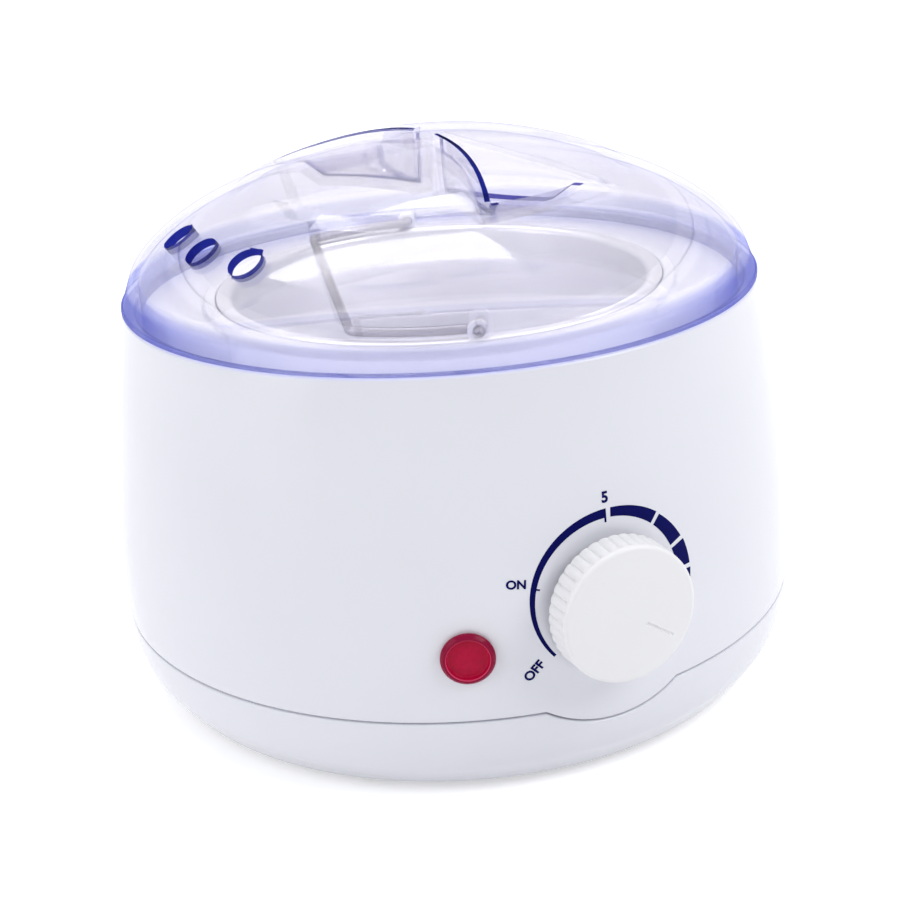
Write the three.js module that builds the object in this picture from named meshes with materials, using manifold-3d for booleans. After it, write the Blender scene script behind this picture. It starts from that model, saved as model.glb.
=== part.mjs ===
// A tabletop wax warmer: a round two-part body around a heated well, a lift-out pot with a wire
// bail, a tinted lid with two finger bays, a heat dial and a pilot lamp.
// Millimetres, +Z up. The origin is the middle of the base's underside, and the dial faces -Y.
// A turn is an angle about +Z in degrees, from -Y towards +X.

import * as THREE from "three";
import { mergeVertices } from "three/addons/utils/BufferGeometryUtils.js";
import Module from "manifold-3d";

const wasm = await Module();
wasm.setup();

// Clearances, and how far a cutter runs past the faces that it cuts
const seatGap = 0.3;
const holeGap = 0.3;
const overrun = 2;

// Facets of round shapes, steps along curves and the degrees of a whole turn
const shellFacets = 48;
const innerFacets = 32;
const holeFacets = 12;
const smallFacets = 8;
const wireFacets = 8;
const leadFacets = 6;
const nutSides = 6;
const curveSteps = 4;
const bayWallSteps = 6;
const bailSteps = 30;
const leadSteps = 12;
const fullTurn = 360;

// Body outline: a chamfer, a flank that swells to the widest place, and a side that leans in
const bodyRadius = 88.95;
const widestHeight = 24;
const leanHeight = 56;
const bodyHeight = 100.1;
const bodyLean = 8.15;
const flankInset = 4.65;
const flankHeight = 10;
const chamferHeight = 4.8;
const chamferWidth = 3.8;
const bodyWall = 2.4;
const bodyTopRadius = bodyRadius - bodyLean;
const chamferRadius = bodyRadius - flankInset;
const undersideRadius = chamferRadius - chamferWidth;

// Seam between base and housing, with its scallop under the dial and the lip behind it
const seamHeight = 20.6;
const seamGap = 0.5;
const scallopLow = 15.5;
const scallopHeight = 46.5;
const lipLowHeight = 8;
const lipReach = 2.9;
const lipWall = 1.5;
const lipHighHeight = seamHeight + lipReach;

// Base floor, feet and vents
const floorWall = 3;
const footCount = 4;
const footFirstTurn = 45;
const footInset = 16.5;
const footRadius = 6.5;
const footDrop = 2;
const footRecess = 1.5;
const footCircle = undersideRadius - footInset;
const ventCount = 8;
const ventCircle = 40;
const ventWidth = 3;
const ventLength = 16;

// Screws that join base and housing, in bosses below and posts above
const bodyScrewTurns = [40, 140, 220, 320];
const bodyScrewInset = 13.95;
const bodyScrewRadius = 1.5;
const bodyScrewHeadRadius = 3;
const bodyScrewHeadHeight = 2.2;
const bodyScrewReach = 13;
const bodyScrewCircle = bodyRadius - bodyScrewInset;
const bossRadius = 4.5;
const bossShelfHeight = 16;
const bossRoof = 5.2;
const bossTopHeight = bossShelfHeight + bossRoof;
const postRadius = 4;
const postLength = 30.5;
const ribWall = 2;

// Housing top: rim seat, deck and collar round the pot's rim
const rimWidth = 2.9;
const deckWidth = 17.4;
const deckDrop = 2.7;
const deckWall = 2.4;
const collarDrop = 0.1;
const collarGap = 0.2;
const collarWall = 3.1;
const rimInnerRadius = bodyTopRadius - rimWidth;
const deckHeight = bodyHeight - deckDrop;
const deckUnder = deckHeight - deckWall;
const collarHeight = bodyHeight - collarDrop;
const collarOuterRadius = rimInnerRadius - deckWidth;
const collarInnerRadius = collarOuterRadius - collarWall;

// Pot
const potRimRise = 0.3;
const potRimWidth = 3.9;
const potLean = 3.7;
const potDepth = 59;
const potWall = 1.2;
const potCorner = 6;
const potRimHeight = bodyHeight + potRimRise;
const potFloorHeight = potRimHeight - potDepth;
const potRimRadius = collarInnerRadius - collarGap;
const potMouthRadius = potRimRadius - potRimWidth;
const potBottomRadius = potMouthRadius - potLean;

// Bail and its ears
const bailTurn = -14.4;
const bailWireRadius = 1.15;
const bailChordOffset = 28.1;
const bailLegShares = [0.35, 0.65, 0.9];
const bailBarShares = [0.93, 0];
const bailPinReach = 0.5;
const bailInset = 0.6;
const earWidth = 5;
const earWall = 1.4;
const earHeight = 4.2;
const earPinHeight = 1.5;

// Lid: lip, skirt, shoulder, crown and the rib that centres it in the rim
const lidOverhang = 0.1;
const lidLipHeight = 1;
const lidLipStep = 0.4;
const lidSkirtHeight = 8.3;
const lidSkirtLean = 2.7;
const lidHeight = 37.8;
const lidWall = 2.2;
const lidRibWall = 1.7;
const lidRibDepth = 2.4;
const lidRibRise = 6;
const shoulderHighShares = [0.46, 0.2];
const shoulderLowShares = [0.88, 0.66];
const shoulderWidth = 31.3;
const crownDrop = 9.2;
const crownBandWidth = 4;
const crownBandDrop = 2.5;
const lidFootHeight = bodyHeight + seatGap;
const lidLipRadius = bodyTopRadius + lidOverhang;
const lidSkirtRadius = lidLipRadius - lidLipStep;
const lidBreakHeight = lidFootHeight + lidSkirtHeight;
const lidBreakRadius = lidSkirtRadius - lidSkirtLean;
const lidTopHeight = lidFootHeight + lidHeight;
const crownRadius = lidBreakRadius - shoulderWidth;
const crownHeight = lidTopHeight - crownDrop;
const crownFootRadius = crownRadius + crownBandWidth;
const crownFootHeight = crownHeight - crownBandDrop;

// Finger bays in the lid: two walls that curve apart from a narrow tip near the axis
const bayTipRadius = 6;
const bayNearTipTurn = 1.5;
const bayNearEndTurn = -8.2;
const bayNearBow = 2.9;
const bayFarTipTurn = 13.5;
const bayFarEndTurn = 38.5;
const bayFarBow = -5.4;
const bayFloorDepth = 14.5;
const bayRampInset = 10;
const bayRampRun = 5;
const bayRampRise = 3.9;
const bayRampFootRadius = crownRadius - bayRampInset;

// Vent holes in the lid
const lidVentTurns = [-64.6, -80.2, -95.4];
const lidVentInset = 12.3;
const lidVentRadius = 4.25;
const lidVentTilt = 35;
const lidVentCircle = lidBreakRadius - lidVentInset;

// Heating well, its gasket and its screws
const wellGap = 0.7;
const wellWall = 1.4;
const wellFloorGap = 0.8;
const wellCorner = 5;
const wellFlangeWall = 1.5;
const wellFlangeMargin = 3.7;
const wellRadius = potMouthRadius + potWall + wellGap;
const wellOuterRadius = wellRadius + wellWall;
const wellRimHeight = potRimHeight - potWall - seatGap;
const wellFloorHeight = potFloorHeight - potWall - wellFloorGap;
const wellUnder = wellFloorHeight - wellWall;
const gasketInset = 1.9;
const gasketWidth = 4;
const gasketHeight = 1.9;
const gasketInnerRadius = wellOuterRadius + gasketInset;
const gasketOuterRadius = gasketInnerRadius + gasketWidth;
const wellFlangeTop = deckUnder - gasketHeight - 2 * seatGap;
const wellFlangeHeight = wellFlangeTop - wellFlangeWall;
const wellScrewTurns = [80, 200, 300];
const wellScrewMargin = 3.8;
const wellScrewRadius = 1.4;
const wellScrewHeadRadius = 2.7;
const wellScrewHeadHeight = 2;
const wellScrewReach = 3;
const wellBossRadius = 3;
const wellScrewCircle = gasketOuterRadius + wellScrewMargin;
const wellFlangeRadius = wellScrewCircle + wellFlangeMargin;

// Studs under the well, one for the thermostat's bracket and one for the fuse's clip
const bracketStudTurn = 0;
const fuseStudTurn = 120;
const studRadius = 1.8;
const studLength = 7;
const studInset = 11.2;
const studCircle = wellRadius - studInset;
const nutRadius = 3.4;
const nutHeight = 2.4;

// Heater band, its strap and the insulation
const bandRise = 6.6;
const bandTopInset = 15;
const bandWall = 1.8;
const bandGapAngle = 32;
const strapRise = 16;
const strapHeight = 6;
const strapWall = 0.8;
const strapTurn = 150;
const strapGapWidth = 4;
const strapClearance = 0.5;
const strapEarReach = 6;
const strapScrewRadius = 1.3;
const strapScrewHeadRadius = 2.4;
const strapScrewHeadHeight = 1.6;
const wrapWall = 4.4;
const wrapLowMargin = 2;
const wrapHighMargin = 4;
const wrapGapAngle = 36;
const wrapNotchWidth = 20;
const bandLowHeight = wellFloorHeight + bandRise;
const bandHighHeight = wellFlangeHeight - bandTopInset;
const strapLowHeight = bandLowHeight + strapRise;
const strapHighHeight = strapLowHeight + strapHeight;
const wrapLowHeight = bandLowHeight - wrapLowMargin;
const wrapHighHeight = bandHighHeight + wrapHighMargin;

// Dial: knob, shaft and thermostat
const knobHeight = 45.1;
const knobGap = 0.5;
const knobBackRadius = 16.6;
const knobFaceRadius = 16.4;
const knobDepth = 8;
const knobEdge = 0.9;
const knobRibCount = 40;
const knobRibDepth = 0.7;
const knobRimDepth = 1.2;
const knobWall = 2.2;
const knobHubRadius = 5.5;
const knobMarkTurn = 125;
const knobMarkWidth = 0.8;
const knobMarkDepth = 0.45;
const knobMarkStart = 4.4;
const knobMarkEnd = 12.8;
const shaftRadius = 3;
const shaftFlat = 0.8;
const shaftHoleRadius = 4.2;
const thermostatWidth = 20;
const thermostatHeight = 20;
const thermostatDepth = 13;
const bushingRadius = 4.8;
const bushingLength = 6;
const bushingBoreDepth = 8;
const bracketWall = 1.5;
const bracketWidth = 22;
const bracketFootMargin = 5.6;
const terminalWidth = 5;
const terminalWall = 1;
const terminalLength = 7;
const terminalSpacing = 12;

// Pilot lamp
const lampTurn = -22.1;
const lampHeight = 37;
const lampFlangeRadius = 6.25;
const lampFlangeWall = 1.5;
const lampDiscRadius = 4.5;
const lampDiscDepth = 0.6;
const lampBodyRadius = 4.8;
const lampBodyLength = 12;
const lampBoreRadius = 3.4;
const lampBoreWall = 2;
const lampRingWidth = 3.2;
const lampRingWall = 1.2;
const lampHolderWall = 2;
const lampHolderPlug = 4;
const bulbRadius = 2.2;
const bulbLength = 8;

// Thermal fuse and its clip
const fuseRadius = 2.2;
const fuseLength = 15;
const fuseClipWall = 0.8;
const fuseClipWidth = 7;
const fuseClipFoot = 8;

// Terminal block and cord gland
const blockWidth = 24;
const blockDepth = 12;
const blockHeight = 10;
const blockInset = 30.95;
const blockPlace = bodyRadius - blockInset;
const blockScrewRadius = 1.4;
const blockScrewHeadRadius = 2.6;
const blockScrewHeadHeight = 1.8;
const blockScrewBite = 2;
const glandHeight = 13;
const glandBoreRadius = 3.2;
const glandBodyRadius = 4.6;
const glandFlangeRadius = 6;
const glandFlangeWall = 2;
const glandInnerReach = 4;

// Leads inside the body
const leadRadius = 1;
const leadSpacing = 8;
const leadFloorHeight = 9;
const leadMidHeight = 20;
const leadSideReach = 26;
const heaterLeadAngle = 3.6;

const degree = Math.PI / 180;
const vector2 = (x, y) => new THREE.Vector2(x, y);
const vector3 = (x, y, z) => new THREE.Vector3(x, y, z);

// The point at a turn, a radius and a height
function around(turn, radius, height) {
  return vector3(radius * Math.sin(turn * degree), -radius * Math.cos(turn * degree), height);
}

// The same in plan
function plan(turn, radius) {
  return vector2(radius * Math.sin(turn * degree), -radius * Math.cos(turn * degree));
}

// Six times the volume that the triangles enclose, negative when they face inwards
function signedVolume(places, corners) {
  const a = new THREE.Vector3();
  const b = new THREE.Vector3();
  const c = new THREE.Vector3();
  let sum = 0;
  for (let i = 0; i < corners.length; i += 3) {
    a.fromArray(places, 3 * corners[i]);
    b.fromArray(places, 3 * corners[i + 1]);
    c.fromArray(places, 3 * corners[i + 2]);
    sum += a.dot(b.cross(c));
  }
  return sum;
}

// A closed geometry as a solid: shared vertices merged, collapsed triangles dropped, faces outwards
function solid(geometry) {
  const bare = geometry.clone();
  bare.deleteAttribute("normal");
  bare.deleteAttribute("uv");
  const merged = mergeVertices(bare.index ? bare.toNonIndexed() : bare);
  const places = Float32Array.from(merged.attributes.position.array);
  const corners = [];
  for (let i = 0; i < merged.index.count; i += 3) {
    const [a, b, c] = [0, 1, 2].map((step) => merged.index.getX(i + step));
    if (a !== b && b !== c && c !== a) corners.push(a, b, c);
  }
  if (signedVolume(places, corners) < 0) corners.reverse();
  const mesh = new wasm.Mesh({
    numProp: 3,
    vertProperties: places,
    triVerts: Uint32Array.from(corners),
  });
  return new wasm.Manifold(mesh);
}

// A solid or a geometry, as the geometry that a mesh shows
function shown(shape) {
  const whole = shape.getMesh ? shape : solid(shape);
  const mesh = whole.getMesh();
  const geometry = new THREE.BufferGeometry();
  geometry.setAttribute("position", new THREE.BufferAttribute(Float32Array.from(mesh.vertProperties), 3));
  geometry.setIndex(Array.from(mesh.triVerts));
  geometry.computeVertexNormals();
  return geometry;
}

// A closed outline of radius and height, turned about +Z
function turned(outline, facets) {
  const geometry = new THREE.LatheGeometry([...outline, outline[0]], facets);
  geometry.rotateX(Math.PI / 2);
  return geometry;
}

// Part of such a ring: from one turn, over an angle, with flat ends
function sector(inner, outer, low, high, firstTurn, angle, facets) {
  const shape = new THREE.Shape();
  const start = firstTurn * degree - Math.PI / 2;
  const end = start + angle * degree;
  shape.absarc(0, 0, outer, start, end, false);
  shape.absarc(0, 0, inner, end, start, true);
  return upright(shape, low, high, facets);
}

// An outline in plan, from one height to another. An arc has two facets for each curve segment
function upright(shape, low, high, facets) {
  const geometry = new THREE.ExtrudeGeometry(shape, {
    depth: high - low,
    bevelEnabled: false,
    curveSegments: facets / 2,
  });
  return geometry.translate(0, 0, low);
}

// A round rod between two points
function rod(from, to, radius, facets) {
  const axis = to.clone().sub(from);
  const geometry = new THREE.CylinderGeometry(radius, radius, axis.length(), facets);
  const turn = new THREE.Quaternion().setFromUnitVectors(vector3(0, 1, 0), axis.normalize());
  geometry.applyQuaternion(turn);
  const middle = from.clone().add(to).multiplyScalar(1 / 2);
  return geometry.translate(middle.x, middle.y, middle.z);
}

// A block between two corners
function block(low, high) {
  const size = high.clone().sub(low);
  const geometry = new THREE.BoxGeometry(size.x, size.y, size.z);
  const middle = low.clone().add(high).multiplyScalar(1 / 2);
  return geometry.translate(middle.x, middle.y, middle.z);
}

// A round wire along a smooth line through the points
function wire(points, radius, facets, steps) {
  const section = new THREE.Shape();
  section.absarc(0, 0, radius, 0, 2 * Math.PI, false);
  return new THREE.ExtrudeGeometry(section, {
    curveSegments: facets / 2,
    steps,
    bevelEnabled: false,
    extrudePath: new THREE.CatmullRomCurve3(points),
  });
}

// An outline moved sideways by a distance, to the left of its direction
function offset(points, distance, closed) {
  const last = points.length - 1;
  return points.map((point, i) => {
    const before = points[i > 0 ? i - 1 : closed ? last : 0];
    const after = points[i < last ? i + 1 : closed ? 0 : last];
    const into = point.clone().sub(before);
    const out = after.clone().sub(point);
    if (into.length() === 0) into.copy(out);
    if (out.length() === 0) out.copy(into);
    into.normalize();
    out.normalize();
    const side = vector2(-into.y - out.y, into.x + out.x).normalize();
    const spread = side.x * -out.y + side.y * out.x;
    return point.clone().addScaledVector(side, distance / spread);
  });
}

// The radius of an outline at a height
function radiusAt(outline, height) {
  for (let i = 1; i < outline.length; i += 1) {
    const low = outline[i - 1];
    const high = outline[i];
    if (height <= high.y) {
      return low.x + ((high.x - low.x) * (height - low.y)) / (high.y - low.y);
    }
  }
  return outline[outline.length - 1].x;
}

// A round-headed screw, its head's top at the origin and its tip upwards
function screw(shankRadius, headRadius, headHeight, length) {
  return turned(
    [
      vector2(0, 0),
      vector2(headRadius, 0),
      vector2(headRadius, headHeight),
      vector2(shankRadius, headHeight),
      vector2(shankRadius, length),
      vector2(0, length),
    ],
    smallFacets,
  );
}

// A hexagon nut with its hole
function nut() {
  const outer = new THREE.CylinderGeometry(nutRadius, nutRadius, nutHeight, nutSides);
  outer.rotateX(Math.PI / 2);
  const hole = studRadius + holeGap;
  const bore = rod(vector3(0, 0, -nutHeight), vector3(0, 0, nutHeight), hole, smallFacets);
  return solid(outer).subtract(solid(bore));
}

// Finishes
const finish = (color, roughness, metalness) =>
  new THREE.MeshStandardMaterial({ color, roughness, metalness });
const whiteGloss = finish(0xf1f2f6, 0.25, 0);
const whiteKnob = finish(0xf0f0f2, 0.35, 0);
const tinted = new THREE.MeshStandardMaterial({
  color: 0xa9b2f2,
  roughness: 0.05,
  metalness: 0,
  transparent: true,
  opacity: 0.35,
});
const aluminium = finish(0xc6cad6, 0.3, 1);
const steel = finish(0xb9bbc0, 0.3, 1);
const rubber = finish(0x2b2c30, 0.8, 0);
const silicone = finish(0xc9cbd0, 0.7, 0);
const heaterSheet = finish(0x9a5a3c, 0.6, 0);
const glassWool = finish(0xe6dfc9, 0.95, 0);
const ceramic = finish(0xe9e4d8, 0.5, 0);
const redLens = finish(0xbe1440, 0.15, 0);
const bulbGlass = finish(0xffb27a, 0.1, 0);
const nylon = finish(0xe4e4e0, 0.5, 0);
const leadSleeve = finish(0xd8c9a8, 0.6, 0);

const warmer = new THREE.Group();

// Hang a piece in a group, with its shape in the group's own frame
function add(group, name, shape, material) {
  const mesh = new THREE.Mesh(shown(shape), material);
  mesh.name = name;
  group.add(mesh);
  return mesh;
}

// A group turned about +Z
function turnedGroup(turn) {
  const group = new THREE.Group();
  group.rotation.z = turn * degree;
  warmer.add(group);
  return group;
}

// The outer face of base and housing as one curve, from the underside to the rim
const baseFlank = new THREE.QuadraticBezierCurve(
  vector2(chamferRadius, chamferHeight),
  vector2(bodyRadius, flankHeight),
  vector2(bodyRadius, widestHeight),
);
const upperFlank = new THREE.QuadraticBezierCurve(
  vector2(bodyRadius, widestHeight),
  vector2(bodyRadius, leanHeight),
  vector2(bodyTopRadius, bodyHeight),
);
const bodyOutline = [
  vector2(undersideRadius, 0),
  ...baseFlank.getPoints(curveSteps),
  ...upperFlank.getPoints(curveSteps).slice(1),
];
const outerAt = (height) => radiusAt(bodyOutline, height);
const innerAt = (height) => outerAt(height) - bodyWall;

// The wall between two heights, as the points up its outer face or down its inner one
function wallPoints(low, high, radius) {
  const between = bodyOutline.filter((point) => point.y > low && point.y < high);
  const heights = [low, ...between.map((point) => point.y), high];
  return heights.map((height) => vector2(radius(height), height));
}

// What the scallop under the dial takes out of a wall, at a distance from the seam's middle
function scallop(gap) {
  const from = vector3(0, 0, scallopHeight);
  const to = vector3(0, -bodyRadius - overrun, scallopHeight);
  return solid(rod(from, to, scallopRadius + gap, shellFacets));
}

// Base
const seamLow = seamHeight - seamGap / 2;
const seamHigh = seamHeight + seamGap / 2;
const scallopRadius = scallopHeight - scallopLow;

function baseWall() {
  const outline = [
    vector2(0, 0),
    ...wallPoints(0, seamLow, outerAt),
    ...wallPoints(floorWall, seamLow, innerAt).reverse(),
    vector2(0, floorWall),
  ];
  return solid(turned(outline, shellFacets)).subtract(scallop(seamGap / 2));
}

function baseLip() {
  const outer = innerAt(scallopLow) - seatGap;
  const inner = outer - lipWall;
  const outline = [
    vector2(inner, lipLowHeight),
    vector2(outer, lipLowHeight),
    vector2(outer, lipHighHeight),
    vector2(inner, lipHighHeight),
  ];
  return solid(turned(outline, shellFacets));
}

function baseCover() {
  let cover = baseWall().add(baseLip());
  for (const turn of bodyScrewTurns) {
    const at = (height) => around(turn, bodyScrewCircle, height);
    const boss = rod(at(floorWall / 2), at(bossTopHeight), bossRadius, holeFacets);
    const head = rod(at(-overrun), at(bossShelfHeight), bodyScrewHeadRadius + holeGap, holeFacets);
    const hole = rod(at(0), at(bossTopHeight + overrun), bodyScrewRadius + holeGap, holeFacets);
    cover = cover.add(solid(boss)).subtract(solid(head)).subtract(solid(hole));
  }
  for (let i = 0; i < footCount; i += 1) {
    const turn = footFirstTurn + (i * fullTurn) / footCount;
    const at = (height) => around(turn, footCircle, height);
    const recess = rod(at(-overrun), at(footRecess), footRadius + holeGap, holeFacets);
    cover = cover.subtract(solid(recess));
  }
  for (let i = 0; i < ventCount; i += 1) {
    const low = vector3(-ventWidth / 2, -ventCircle - ventLength / 2, -overrun);
    const high = vector3(ventWidth / 2, -ventCircle + ventLength / 2, floorWall + overrun);
    const slot = block(low, high).rotateZ(((i + 1 / 2) * 2 * Math.PI) / ventCount);
    cover = cover.subtract(solid(slot));
  }
  const post = vector3(0, blockPlace, floorWall - blockScrewBite);
  const bite = vector3(0, blockPlace, floorWall + overrun);
  cover = cover.subtract(solid(rod(post, bite, blockScrewRadius + holeGap, smallFacets)));
  const inside = vector3(0, innerAt(glandHeight) - overrun - lipWall, glandHeight);
  const outside = vector3(0, bodyRadius + overrun, glandHeight);
  return cover.subtract(solid(rod(inside, outside, glandBodyRadius + holeGap, holeFacets)));
}

add(warmer, "base_cover", baseCover(), whiteGloss);

for (let i = 0; i < footCount; i += 1) {
  const turn = footFirstTurn + (i * fullTurn) / footCount;
  const top = footDrop + footRecess - seatGap;
  const shape = rod(vector3(0, 0, 0), vector3(0, 0, top), footRadius, holeFacets);
  const foot = add(warmer, `foot_${i + 1}`, shape, rubber);
  foot.position.copy(around(turn, footCircle, -footDrop));
}

const bodyScrewLow = bossShelfHeight - seatGap - bodyScrewHeadHeight;
const bodyScrewLength = bossTopHeight + bodyScrewReach - bodyScrewLow;
bodyScrewTurns.forEach((turn, i) => {
  const shape = screw(bodyScrewRadius, bodyScrewHeadRadius, bodyScrewHeadHeight, bodyScrewLength);
  const piece = add(warmer, `base_screw_${i + 1}`, shape, steel);
  piece.position.copy(around(turn, bodyScrewCircle, bodyScrewLow));
});

// Housing
const postTopHeight = bossTopHeight + seatGap + postLength;

function housingShell() {
  const outline = [
    ...wallPoints(scallopLow - seamGap, bodyHeight, outerAt),
    vector2(rimInnerRadius, bodyHeight),
    vector2(rimInnerRadius, deckHeight),
    vector2(collarOuterRadius, deckHeight),
    vector2(collarOuterRadius, collarHeight),
    vector2(collarInnerRadius, collarHeight),
    vector2(collarInnerRadius, deckUnder),
    ...wallPoints(scallopLow - seamGap, deckUnder, innerAt).reverse(),
  ];
  const low = vector3(0, 0, 0);
  const high = vector3(0, 0, seamHigh);
  const below = solid(rod(low, high, bodyRadius + overrun, shellFacets));
  return solid(turned(outline, shellFacets)).subtract(below.subtract(scallop(-seamGap / 2)));
}

// A screw post with the rib that ties it to the wall
function post(turn) {
  const low = bossTopHeight + seatGap;
  const at = (height) => around(turn, bodyScrewCircle, height);
  const column = solid(rod(at(low), at(postTopHeight), postRadius, holeFacets));
  const wallRadius = innerAt(postTopHeight) + bodyWall / 2;
  const ribLow = vector3(-ribWall / 2, -wallRadius, lipHighHeight + seatGap);
  const ribHigh = vector3(ribWall / 2, -bodyScrewCircle, postTopHeight);
  return column.add(solid(block(ribLow, ribHigh).rotateZ(turn * degree)));
}

function upperHousing() {
  let housing = housingShell();
  const tip = bossTopHeight + bodyScrewReach + seatGap;
  for (const turn of bodyScrewTurns) {
    const from = around(turn, bodyScrewCircle, bossTopHeight);
    const to = around(turn, bodyScrewCircle, tip);
    const hole = solid(rod(from, to, bodyScrewRadius + holeGap, holeFacets));
    housing = housing.add(post(turn)).subtract(hole);
  }
  for (const turn of wellScrewTurns) {
    const at = (height) => around(turn, wellScrewCircle, height);
    const boss = rod(at(wellFlangeTop + seatGap), at(deckUnder + deckWall / 2), wellBossRadius, holeFacets);
    const tipHeight = wellFlangeTop + wellScrewReach + seatGap;
    const hole = rod(at(wellFlangeTop), at(tipHeight), wellScrewRadius + holeGap, smallFacets);
    housing = housing.add(solid(boss)).subtract(solid(hole));
  }
  const shaftFrom = vector3(0, 0, knobHeight);
  const shaftTo = vector3(0, -bodyRadius - overrun, knobHeight);
  housing = housing.subtract(solid(rod(shaftFrom, shaftTo, shaftHoleRadius, holeFacets)));
  const lampFrom = around(lampTurn, bodyScrewCircle, lampHeight);
  const lampTo = around(lampTurn, bodyRadius + overrun, lampHeight);
  return housing.subtract(solid(rod(lampFrom, lampTo, lampBodyRadius + holeGap, holeFacets)));
}

add(warmer, "upper_housing", upperHousing(), whiteGloss);

// Lid

// A point on the shoulder's frame, by its shares of the way from crown foot to skirt break
function shoulderPoint(shares) {
  return vector2(
    crownFootRadius + shares[0] * (lidBreakRadius - crownFootRadius),
    crownFootHeight + shares[1] * (lidBreakHeight - crownFootHeight),
  );
}

// The lid's outer face from the axis to the skirt's foot
function lidOutline() {
  const ball = (crownRadius ** 2 + crownDrop ** 2) / (2 * crownDrop);
  const reach = Math.asin(crownRadius / ball);
  const crown = [];
  for (let i = 0; i <= curveSteps; i += 1) {
    const angle = (reach * i) / curveSteps;
    crown.push(vector2(ball * Math.sin(angle), lidTopHeight - ball * (1 - Math.cos(angle))));
  }
  const shoulder = new THREE.CubicBezierCurve(
    vector2(crownFootRadius, crownFootHeight),
    shoulderPoint(shoulderHighShares),
    shoulderPoint(shoulderLowShares),
    vector2(lidBreakRadius, lidBreakHeight),
  );
  return [
    ...crown,
    ...shoulder.getPoints(curveSteps),
    vector2(lidSkirtRadius, lidFootHeight + lidLipHeight),
  ];
}

// One wall of a bay in plan, from its tip outwards, bowed to one side of its chord
function bayWall(tipTurn, endTurn, bow) {
  const from = plan(tipTurn, bayTipRadius);
  const to = plan(endTurn, crownFootRadius + overrun);
  const along = to.clone().sub(from).normalize();
  const middle = from.clone().add(to).multiplyScalar(1 / 2);
  middle.add(vector2(-along.y, along.x).multiplyScalar(2 * bow));
  return new THREE.QuadraticBezierCurve(from, middle, to).getPoints(bayWallSteps);
}

// One bay in plan, grown outwards by a distance
function bayShape(grow) {
  const near = bayWall(bayNearTipTurn, bayNearEndTurn, bayNearBow);
  const far = bayWall(bayFarTipTurn, bayFarEndTurn, bayFarBow);
  const mouth = plan((bayNearEndTurn + bayFarEndTurn) / 2, crownFootRadius + 2 * overrun);
  return new THREE.Shape(offset([...near, mouth, ...far.reverse()], -grow, true));
}

// What one bay takes out: its plan above its floor, with the floor's face lowered by a distance
function bayCut(grow, drop) {
  const floor = lidTopHeight - bayFloorDepth - drop;
  const top = lidTopHeight + overrun;
  const low = lidFootHeight;
  const keep = [
    vector2(0, low),
    vector2(0, floor),
    vector2(bayRampFootRadius, floor),
    vector2(bayRampFootRadius + bayRampRun, floor + bayRampRise),
    vector2(crownFootRadius, crownFootHeight - drop),
    vector2(crownFootRadius, top + overrun),
    vector2(lidSkirtRadius, top + overrun),
    vector2(lidSkirtRadius, low),
  ];
  const prism = solid(upright(bayShape(grow), floor - overrun, top, curveSteps));
  return prism.subtract(solid(turned(keep, shellFacets)));
}

function lid() {
  const outside = lidOutline();
  const inside = offset(outside, -lidWall, false);
  inside[0].x = 0;
  const foot = lidFootHeight + lidLipHeight;
  const body = [
    ...outside,
    vector2(lidLipRadius, foot),
    vector2(lidLipRadius, lidFootHeight),
    vector2(0, lidFootHeight),
  ];
  const skirtInner = inside[inside.length - 1].x;
  inside[inside.length - 1].y = lidFootHeight - overrun;
  const hollow = [...inside, vector2(0, lidFootHeight - overrun)];
  let shell = solid(turned(body, shellFacets));
  let space = solid(turned(hollow, shellFacets));
  for (const half of [0, Math.PI]) {
    const place = (cut) => solid(shown(cut).rotateZ(half));
    shell = shell.subtract(place(bayCut(0, 0)));
    space = space.subtract(place(bayCut(lidWall, lidWall)));
  }
  const ribOuter = rimInnerRadius - seatGap;
  const rib = [
    vector2(ribOuter - lidRibWall, lidFootHeight - lidRibDepth),
    vector2(ribOuter, lidFootHeight - lidRibDepth),
    vector2(ribOuter, lidFootHeight),
    vector2(skirtInner + lidWall / 2, lidFootHeight),
    vector2(skirtInner + lidWall / 2, lidFootHeight + lidLipHeight),
    vector2(ribOuter - lidRibWall + lidWall, lidFootHeight + lidRibRise),
    vector2(ribOuter - lidRibWall, lidFootHeight + lidRibRise),
  ];
  let cover = shell.subtract(space).add(solid(turned(rib, shellFacets)));
  for (const turn of lidVentTurns) {
    const axis = around(turn, Math.sin(lidVentTilt * degree), Math.cos(lidVentTilt * degree));
    const heightThere = lidHeightAt(outside, lidVentCircle);
    const centre = around(turn, lidVentCircle, heightThere);
    const from = centre.clone().addScaledVector(axis, -lidWall - overrun);
    const to = centre.clone().addScaledVector(axis, overrun);
    cover = cover.subtract(solid(rod(from, to, lidVentRadius, holeFacets)));
  }
  return cover;
}

// The height of the lid's outer face at a radius
function lidHeightAt(outline, radius) {
  const last = outline.findIndex((point) => point.x >= radius);
  const high = outline[last - 1];
  const low = outline[last];
  return high.y + ((low.y - high.y) * (radius - high.x)) / (low.x - high.x);
}

add(warmer, "lid", lid(), tinted);

// Pot: the pan, two ears and the bail. The bail's frame has its pins along X and folds towards +Y

function pan() {
  const corner = (radius, height, size) =>
    new THREE.QuadraticBezierCurve(
      vector2(radius - size, height),
      vector2(radius, height),
      vector2(radius, height + size),
    ).getPoints(curveSteps);
  const under = potFloorHeight - potWall;
  const outline = [
    vector2(0, potFloorHeight),
    ...corner(potBottomRadius, potFloorHeight, potCorner),
    vector2(potMouthRadius, potRimHeight),
    vector2(potRimRadius, potRimHeight),
    vector2(potRimRadius, potRimHeight - potWall),
    vector2(potMouthRadius + potWall, potRimHeight - potWall),
    ...corner(potBottomRadius + potWall, under, potCorner + potWall).reverse(),
    vector2(0, under),
  ];
  return turned(outline, shellFacets);
}

add(warmer, "wax_pot", pan(), aluminium);

const pinHeight = potRimHeight + seatGap + earPinHeight;
const earInnerRadius = potRimRadius - seatGap - earWall;

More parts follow.
